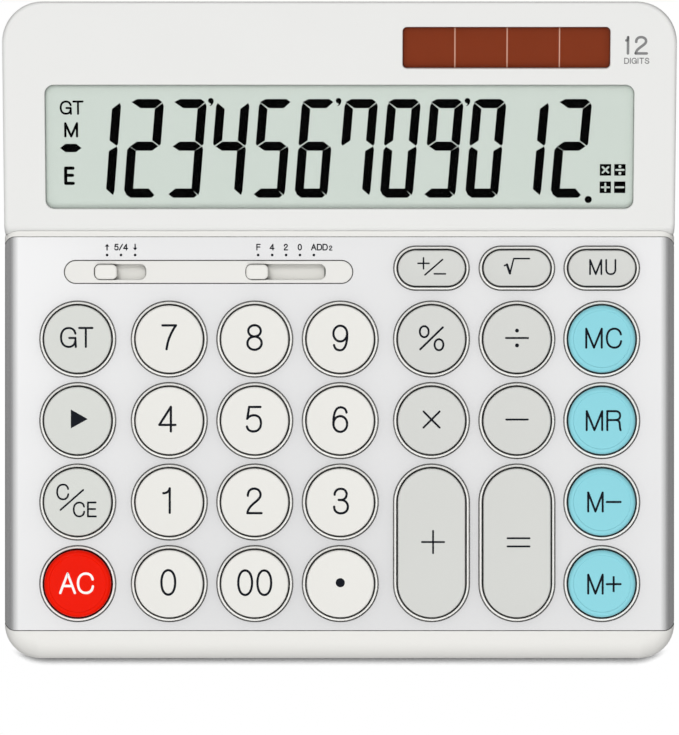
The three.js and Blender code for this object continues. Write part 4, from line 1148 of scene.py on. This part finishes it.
def stations(points, half):
    """Places along a stroke as (left, right) edge points, with round ends."""
    closed = (points[0] - points[-1]).length < 1e-6
    first, last = (points[-2], points[1]) if closed else (points[0], points[-1])
    line = [first, *points, last]
    ways = [(after - before).normalized() for before, after in zip(line, line[2:])]
    sides = [(point, way, half) for point, way in zip(points, ways)]
    for turn in () if closed else map(math.radians, END_TURNS):
        out, width = half * math.sin(turn), half * math.cos(turn)
        sides.insert(0, (points[0] - ways[0] * out, ways[0], width))
        sides.append((points[-1] + ways[-1] * out, ways[-1], width))
    return [(p + Vector((-w.y, w.x)) * h, p - Vector((-w.y, w.x)) * h) for p, w, h in sides]


def merged(shapes):
    """One list of vertices and faces from several."""
    vertices, faces = [], []
    for more, sides in shapes:
        base = len(vertices)
        vertices += more
        faces += [tuple(base + i for i in face) for face in sides]
    return vertices, faces


def film(strokes, half, height, lift=0.035, depth=0.05):
    """Thin raised films along strokes, lying on a face whose height is a function of place."""
    lofts = []
    for stroke in strokes:
        rings = []
        for left, right in stations(stroke, half):
            corners = ((left, lift), (right, lift), (right, -depth), (left, -depth))
            rings.append([(*point, height(*point) + rise) for point, rise in corners])
        lofts.append(loft(rings))
    return merged(lofts)


def written(text, size, stroke, x, y, gap=0.24, widen=1.0):
    """The strokes of a text whose middle is at a place, in millimetres."""
    scale = size - stroke
    widths = [SIGNS[sign][0] * widen for sign in text]
    at = -(sum(widths) + gap * (len(text) - 1)) / 2
    out = []
    for sign, width in zip(text, widths):
        for path in map(sampled, SIGNS[sign][1]):
            places = [(x + (at + p.x * widen) * scale, y + (p.y - 0.5) * scale) for p in path]
            out.append([Vector(point) for point in places])
        at += width + gap
    return out


def patch(outline, height, lift=0.035, depth=0.05):
    """A filled film inside an outline."""
    return loft([[(x, y, height(x, y) + rise) for x, y in outline] for rise in (-depth, lift)])


def dot(x, y, radius, height, lift=0.035, depth=0.05):
    return patch(arc(x, y, radius, 0, 345, 23), height, lift, depth)


def flat_at(level):
    return lambda x, y: level


def printed(name, shapes, angle=35):
    return shade(make(merged(shapes), name), angle)


print("lettering ready")

# %% [markdown]
# The display is lit as in the photograph, with twelve slanted digits, three separators, a decimal
# point, the small indicators at the left and the four signs at the right. Liquid crystal segments are
# dead black films on the glass, each one cut off at a slant where it meets its neighbour.

# %% Display: digits and indicators
SEGMENTS = {
    "a": "-8.76 .72,-7.43 0,-1.64 0,-.65 .72,-2.29 2.31,-6.39 2.31",
    "b": "-.31 1.21,0 1.91,0 12.72,-.31 13.09,-2.2 11.7,-2.2 2.77",
    "c": "-.25 13.73,0 14.39,0 26.36,-.23 27.34,-2.09 25.78,-2.15 14.91",
    "d": "-8.42 27.34,-6.73 25.84,-2.32 25.84,-.73 27.57,-1.41 28.21,-7.18 28.21",
    "e": "-8.53 13.79,-6.87 14.85,-6.81 25.49,-8.53 27.02,-9.04 26.13,-9.1 14.59",
    "f": "-8.79 1.21,-6.9 2.77,-6.9 11.7,-8.79 13.09,-9.1 12.72,-9.1 1.91",
    "g": "-8.25 13.5,-6.61 12.28,-2.32 12.28,-.76 13.44,-2.26 14.59,-6.58 14.59",
}
LIT = {"1": "bc", "2": "abged", "3": "abgcd", "4": "fgbc", "5": "afgcd", "6": "afgecd", "7": "fabc",
       "9": "abcdfg", "0": "abcdef"}
SHOWN = "123456709012"
DIGIT_TOP = 31.82
DIGIT_RIGHT = -61.65
DIGIT_PITCH = 12.077
DIGIT_SLANT = 0.0838
DIGIT_SPREAD = 0.15
COMMA = (".69 0,.55 .42,.1 .69,-.42 .55,-.69 .05,-.5 -.45,-.02 -.66,.02 -.9,-.3 -1.2,-.18 -1.32"
         ",.3 -1.02,.62 -.5")
LOZENGE = "-78.99 17.84,-77.44 16.65,-74.5 16.65,-72.9 17.84,-74.4 19.05,-77.44 19.05"
LCD_FACE = flat_at(LCD_TOP)


def segment(points):
    return patch(points, LCD_FACE, 0.03, 0.02)


def grown(loop, amount):
    """A segment's outline, moved outward."""
    if sum(a[0] * b[1] - b[0] * a[1] for a, b in zip(loop, loop[1:] + loop[:1])) < 0:
        loop = loop[::-1]
    return [(p[0] - n.x * amount, p[1] - n.y * amount) for p, n in zip(loop, inward(loop))]


def digits():
    shapes = []
    for place, sign in enumerate(SHOWN):
        right = DIGIT_RIGHT + place * DIGIT_PITCH
        for name in LIT[sign]:
            corners = numbers(SEGMENTS[name])[::-1]
            outline = [(right + x - y * DIGIT_SLANT, DIGIT_TOP - y) for x, y in corners]
            shapes.append(segment(grown(outline, DIGIT_SPREAD)))
    for x in (-36.31, -0.28, 36.09):
        shapes.append(segment([(x + px * 1.2, 31.5 + ps * 1.2) for px, ps in numbers(COMMA)]))
    return [*shapes, dot(70.42, 2.95, 1.02, LCD_FACE)]


def indicators():
    return [
        segment(numbers(LOZENGE)),
        film(written("GT", 4.07, 0.55, -75.6, 29.5, 0.2), 0.29, LCD_FACE),
        film(written("M", 4.4, 0.66, -75.8, 23.1), 0.33, LCD_FACE),
        film(written("E", 5.3, 0.9, -76.4, 9.83, widen=0.78), 0.46, LCD_FACE),
    ]


def sign_tiles():
    """The four signs at the right: dark tiles, and the light signs on them."""
    dark, light = [], []
    left, right, low, high = 75.23, 79.31, 6.49, 11.53
    tiles = (
        ("x", 2.1, left, high), ("-", 2.6, right, high),
        ("+", 2.6, left, low), ("-", 2.6, right, low),
    )
    for sign, size, x, s in tiles:
        corners = ((-1.6, -1.67), (1.6, -1.67), (1.6, 1.67), (-1.6, 1.67))
        dark.append(segment([(x + dx, s + ds) for dx, ds in corners]))
        light.append(film(written(sign, size, 0.5, x, s), 0.27, LCD_FACE, 0.05, 0.0))
    light += [dot(right, high + side, 0.42, LCD_FACE, 0.05, 0.0) for side in (-0.98, 0.98)]
    return dark, light


tiles_dark, tiles_light = sign_tiles()
SEGMENT_LOOK = plastic("lcd_segment", (0.002, 0.002, 0.002, 1), 0.7, 0.02, edge=0.00001, specular=0.02)
lit = printed("lcd_digits", [*digits(), *indicators(), *tiles_dark])
finish_piece(lit, "display_head", None, "lcd", SEGMENT_LOOK)
finish_piece(printed("lcd_signs", tiles_light), "display_head", None, "lcd", LCD_LOOK)
print("display signs", len(lit.data.polygons))

# %% [markdown]
# Each key carries its own legend, printed in dark ink, or white on the clear key. The film follows the
# key's dish and rides with the key. A legend is a list of strokes with their width: text with its size,
# width, place, gap and widening, or strokes drawn straight in millimetres.

# %% Keys: legends
def ink(name, colour, roughness=0.5, specular=0.5):
    """Print: a smooth film with sharp edges."""
    return plastic(name, colour, roughness, 0.1, edge=0.00002, specular=specular)


def typed(text, size, stroke, x=0.0, y=0.0, gap=0.25, widen=1.0):
    return written(text, size, stroke, x, y, gap, widen), stroke / 2


def drawn(stroke, text):
    return [sampled(path) for path in strokes_of(text)], stroke / 2


LEGENDS = {name: [typed(name, 7.6, 0.66)] for name in "01235689"}
LEGENDS.update({
    "00": [typed("00", 7.6, 0.66, gap=0.2)],
    "4": [typed("4", 7.6, 0.66, widen=0.94)],
    "7": [typed("7", 7.4, 0.66, widen=0.92)],
    "memory_clear": [typed("MC", 5.95, 0.6, gap=0.27, widen=0.93)],
    "memory_recall": [typed("MR", 5.95, 0.6, gap=0.27, widen=0.93)],
    "memory_minus": [typed("M", 5.95, 0.6, -2.35, widen=0.87), drawn(0.6, ".85 0,4.75 0")],
    "memory_plus": [typed("M", 5.95, 0.6, -2.35, widen=0.87), drawn(0.6, ".85 0,4.75 0|2.8 -2,2.8 2")],
    "grand_total": [typed("GT", 5.95, 0.6, 0.2, 0.1, 0.18, 0.95)],
    "all_clear": [typed("AC", 6.15, 0.68, 0.35, -0.35, 0.16, 0.95)],
    "clear_entry": [
        typed("C", 4.7, 0.52, -3.74, 2.41, widen=0.93),
        typed("CE", 4.45, 0.52, 2.5, -2.55, 0.26, 0.93),
        drawn(0.5, "-4.39 -2.69,2.04 2.97"),
    ],
    "mark_up": [typed("MU", 4.53, 0.5, 0.0, 0.12, 0.34, 0.9)],
    "sign": [
        drawn(0.44, "-3.55 1.25,-.45 1.25|-2 -.3,-2 2.8|-1.58 -2.01,3.38 2.31|1.05 -1.73,4.2 -1.73"),
    ],
    "root": [
        drawn(0.44, "-3.55 .61,-2.84 .89|-1.99 -1.59,-.93 2.59|-.93 2.59,3.5 2.59"),
        drawn(0.66, "-2.84 .89,-1.99 -1.59"),
    ],
    "percent": [drawn(0.56, "-3.2 -3.2,3.2 3.03|o-2.07 1.79 1.25 1.56|o2.1 -1.9 1.25 1.56")],
    "divide": [drawn(0.54, "-3.13 0,3.13 0")],
    "times": [drawn(0.56, "-2.28 -2.28,2.28 2.28|-2.28 2.28,2.28 -2.28")],
    "minus": [drawn(0.54, "-3.06 0,3.06 0")],
    "plus": [drawn(0.52, "-2.5 -.2,3.8 -.2|.65 -3.35,.65 2.95")],
    "equals": [drawn(0.52, "-2.55 .85,3.7 .85|-2.55 -1.47,3.7 -1.47")],
})
DOTS = {"point": [(0, 0, 1.3)], "divide": [(0, 2.1, 0.55), (0, -2.1, 0.55)]}
TRIANGLE = ((-1.47, 2.68), (-1.47, -2.65), (3.3, 0.0))
NUDGE = (0.0, 0.3)
NUDGES = {
    "all_clear": (-0.62, 0.5), "clear_entry": (-0.46, 0.48), "backspace": (-0.45, 0.45),
    "grand_total": (-0.45, 0.36), "0": (-0.25, 0.38), "1": (-0.75, 0.45), "2": (-0.15, 0.36),
    "3": (0.2, 0.3), "4": (-0.5, 0.42), "5": (-0.18, 0.4), "7": (0.0, 0.5), "8": (-0.06, 0.44),
    "plus": (-0.22, 0.46), "equals": (-0.14, 0.48), "mark_up": (0.23, 0.18), "sign": (-0.28, 0.1),
    "root": (0.0, 0.1), "memory_plus": (0.5, -0.1), "memory_minus": (0.5, 0.05),
    "memory_recall": (0.48, 0.0), "memory_clear": (0.5, 0.25),
}
INK_LOOK = ink("legend_ink", srgb(22, 25, 32), 0.6, 0.08)
WHITE_INK_LOOK = ink("white_legend_ink", srgb(252, 246, 242))


def legend(name, place):
    def height(x, u):
        past_x = max(0.0, abs(x - place["x"]) - place["sx"])
        past_u = max(0.0, abs(u - place["u"]) - place["su"])
        return face_level(name, math.hypot(past_x, past_u))

    across, along = NUDGES.get(name, NUDGE)
    centre = Vector((place["x"] + across, place["u"] + along))
    shapes = []
    for strokes, half in LEGENDS.get(name, ()):
        shapes.append(film([[point + centre for point in stroke] for stroke in strokes], half, height))
    for x, y, radius in DOTS.get(name, ()):
        shapes.append(dot(centre.x + x, centre.y + y, radius, height))
    if name == "backspace":
        shapes.append(patch([(centre.x + x, centre.y + y) for x, y in TRIANGLE], height, 0.035, 0.1))
    return printed("legend_" + name, shapes, 50)


for name, place in KEYS.items():
    ink_look = WHITE_INK_LOOK if name == "all_clear" else INK_LOOK
    finish_piece(legend(name, place), "key_" + name, None, key_slot(name)[0], ink_look)
print("legends", len(KEYS))

# %% [markdown]
# Over the two switches the panel carries the names of their positions and a dot for each position.
# The print is the finest on the part, so its strokes are a third of a millimetre. Beside the solar
# window the head says in grey how many digits the display has.

# %% Panel and head: printed labels
LABEL_U = 108.6
DOT_U = 106.37
SWITCH_DOTS = (-65.85, -61.9, -57.9, -23.05, -19.07, -15.13, -11.2, -7.27)
ARROW_HEAD = ((0.0, 0.95), (-0.62, 0.16), (0.62, 0.16))
PANEL_FACE = flat_at(0.0)
HEAD_FACE = flat_at(FACE)


def label(text, x, size=1.9, u=LABEL_U, gap=0.24, stroke=0.33):
    return film(written(text, size, stroke, x, u, gap), stroke / 2, PANEL_FACE, 0.02)


def arrow(x, way):
    head = [(x + px * way, LABEL_U + py * way) for px, py in ARROW_HEAD]
    stem = [[Vector((x, LABEL_U - 0.8 * way)), Vector((x, LABEL_U + 0.4 * way))]]
    return [patch(head, PANEL_FACE, 0.02), film(stem, 0.18, PANEL_FACE, 0.02)]


labels = [dot(x, DOT_U, 0.38, PANEL_FACE, 0.02) for x in SWITCH_DOTS]
labels += arrow(-65.85, 1) + arrow(-57.9, -1) + [label("5/4", -61.85, gap=0.22)]
labels += [label(sign, x) for sign, x in (("F", -22.95), ("4", -19.1), ("2", -15.2), ("0", -11.25))]
labels += [label("ADD", -5.7, gap=0.26), label("2", -2.5, 1.45, LABEL_U - 0.24, stroke=0.27)]
finish_piece(printed("switch_labels", labels, 50), "base", None, "panel", INK_LOOK)

count = written("1", 5.4, 0.74, 80.95, 47.75, widen=0.4)
count += written("2", 5.4, 0.74, 84.87, 47.75, widen=1.15)
word = written("DIGITS", 1.75, 0.27, 83.7, 43.3, gap=0.32)
capacity = [film(strokes, half, HEAD_FACE, 0.02) for strokes, half in ((count, 0.37), (word, 0.14))]
mark = printed("capacity_mark", capacity, 50)
GREY_INK_LOOK = ink("grey_ink", srgb(132, 132, 132), specular=0.1)
finish_piece(mark,"display_head", None, "head", GREY_INK_LOOK)
print("labels ready")

# %% [markdown]
# A slide switch's knob is a small smooth block that comes up through its slot. It stands on a flat
# shutter under the deck, which slides with it and hides the slot at every position.

# %% Switch knobs
KNOB_HALF, KNOB_SIDE = 3.13, 2.08
KNOB_FOOT, KNOB_TOP = -3.2, 1.15
KNOB_DISH = ((0.8, 0.027), (1.2, 0.007), (1.6, 0.0))
KNOB_ROLL = 0.55
KNOB_CORNER = 1.45
SHUTTER_SIDE = 3.3
SWITCHES = (("rounding_switch", -66.15, 7.9), ("decimal_switch", -23.3, 15.8))


def knob(name, x, travel):
    base = KNOB_TOP - KNOB_ROLL
    profile = [(0, KNOB_FOOT), (0, base)]
    profile += [(KNOB_ROLL * (1 - math.cos(t)), base + KNOB_ROLL * math.sin(t)) for t in quarter(8)]
    profile += [(inset, KNOB_TOP - fall) for inset, fall in KNOB_DISH]
    rings = []
    for inset, w in profile:
        corner = max(0.3, KNOB_CORNER - inset)
        spread = (KNOB_HALF - inset - corner, KNOB_SIDE - inset - corner)
        rings.append(ring(placed(x, STRIP_U, corner, *spread), 0, w, 10))
    half = KNOB_HALF + 0.12 + travel
    front, rear = STRIP_U - SHUTTER_SIDE, STRIP_U + SHUTTER_SIDE
    shutter = make(block(x - half, x + half, front, rear, FLANGE_BOTTOM, FLANGE_TOP))
    return shade(combine(make(loft(rings), name + "_slider"), [shutter], "UNION"), 40)


for name, x, travel in SWITCHES:
    finish_piece(knob(name, x, travel), name + "_knob", name + "_knob", "knob", KNOB_LOOK)
print("knobs", len(SWITCHES))

# %% [markdown]
# The solar module is a glass plate with four amorphous silicon cells, deposited in a thin brown layer,
# with pale lines between them where the layer is cut. It sits behind its own clear window.

# %% Solar module
CELLS = ((17.3, 32.33), (32.67, 47.03), (47.37, 61.78), (62.12, 76.7))
CELL_FRONT, CELL_REAR = 40.6, 53.3
CELL_TOP = 5.85


def cell_look():
    """A brown silicon layer with the faint fine lines of its laser scribing."""
    nodes = Nodes("silicon_layer")
    value = nodes.maths("ADD", nodes.bands(900.0, 0.6), nodes.noise(160.0, 3.0))
    colour = nodes.tint(nodes.remap(value, 0, 2, 0.9, 1.08), srgb(133, 61, 34))
    return nodes.surface({"Base Color": colour, "Roughness": 0.35, "Specular IOR Level": 0.05})


base = plate("solar_plate", SOLAR, 0.5, CELL_TOP - 0.85, CELL_TOP - 0.01, 0.05)
CELL_LINE_LOOK = plastic("cell_line", srgb(214, 178, 160), 0.5, 0.1, 0.0, 0.00002)
finish_piece(base, "display_head", "solar_cell", "solar_cell", CELL_LINE_LOOK)
layers = [block(*ends, CELL_FRONT, CELL_REAR, CELL_TOP - 0.2, CELL_TOP) for ends in CELLS]
cells = printed("solar_cells", layers)
finish_piece(cells,"display_head", None, "solar_cell", cell_look())
pane = plate("solar_pane", SOLAR, 1.15, LENS_BOTTOM, LENS_TOP)
SOLAR_GLASS_LOOK = clear_look("solar_glass", (0.97, 0.93, 0.91, 1))
finish_piece(pane, "display_head", "solar_window", "solar_glass", SOLAR_GLASS_LOOK)
print("solar module ready")

# %% [markdown]
# The key mat is one rubber sheet with a hollow dome under each key. Each dome is a piece of its own
# here, with a mesh of its own.

# %% Key mat: sheet and domes
MAT_OUTLINE = ((-85.5, 6), (85.5, 6), (85.5, 108.03), (7.15, 108.03), (7.15, 97.4), (-85.5, 97.4))
MAT_BOTTOM, MAT_TOP = -7.2, -6.4
DOME_PROFILE = ((3.6, -6.4), (3.55, -6.1), (3.3, -5.75), (2.8, -4.9), (2.6, -4.55), (2.4, -4.4))
MAT_LOOK = plastic("mat_rubber", srgb(196, 198, 196), 0.75, 0.4)

mat = shade(make(run(MAT_OUTLINE, MAT_BOTTOM, MAT_TOP), "mat_sheet"))
finish_piece(mat, "base", "key_mat", "mat", MAT_LOOK)
for name, place in KEYS.items():
    sides = (-place["su"], place["su"]) if place["su"] else (0,)
    centres = [placed(place["x"], place["u"] + side, 0) for side in sides]
    domes = join("dome_" + name, [make(turned(centre, DOME_PROFILE, 6)) for centre in centres])
    finish_piece(shade(domes, 50), "base", None, "mat", MAT_LOOK)
    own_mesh(domes)
print("key mat ready")

# %% [markdown]
# What is left is inside or underneath: the lower housing and its door, the circuit board, the ribbon,
# the cell and its springs, the feet and the screws. They keep the CAD model's shape and take a look of
# their own, so that no face is a flat colour from any side.

# %% Inner and lower pieces
def plated_steel():
    """Plain steel with fine drawing lines."""
    nodes = Nodes("plated_steel")
    flake = nodes.noise(3000.0, 4.0)
    return nodes.surface({
        "Base Color": (0.62, 0.63, 0.65, 1),
        "Metallic": 1,
        "Roughness": nodes.remap(flake, 0, 1, 0.255, 0.345),
        "Normal": nodes.bump(flake, 0.15, 0.00001, 0.0001),
    })


def board_look():
    """Green solder mask over copper tracks, which show as slightly paler bands."""
    nodes = Nodes("circuit_board")
    tracks = nodes.add("TexBrick", {
        "Vector": nodes.place(),
        "Color1": (0.012, 0.12, 0.045, 1),
        "Color2": (0.015, 0.15, 0.055, 1),
        "Mortar": (0.03, 0.24, 0.09, 1),
        "Scale": 90.0,
        "Mortar Size": 0.03,
    })
    return nodes.surface({"Base Color": tracks, "Roughness": 0.32})


def cable_look():
    """Flat cable: conductors under a brown film, as narrow bands along it."""
    nodes = Nodes("flat_cable")
    films = {0: nodes.bands(250.0), 6: (0.16, 0.07, 0.02, 1), 7: (0.42, 0.2, 0.06, 1)}
    return nodes.surface({"Base Color": nodes.add("Mix", films, 2, data_type="RGBA"), "Roughness": 0.4})


LOWER_LOOK = plastic("lower_plastic", srgb(224, 222, 217), 0.55, 0.5)
RUBBER_LOOK = plastic("foot_rubber", srgb(150, 150, 148), 0.8, 0.6)
NODE_LOOKS = (
    (LOWER_LOOK, ("lower_housing", "battery_door")),
    (plated_steel(), ("hinge_pin", "screw", "spring", "contact", "battery_cell")),
    (RUBBER_LOOK, ("foot",)),
    (board_look(), ("main_board",)),
    (cable_look(), ("lcd_ribbon",)),
)
plain = []
for name, piece in frame["nodes"].items():
    looks = [look for look, words in NODE_LOOKS if any(word in name for word in words)]
    if looks:
        piece.data.materials.clear()
        piece.data.materials.append(looks[0])
    else:
        plain.append(name)
print("CAD solids without a look of their own:", len(plain))
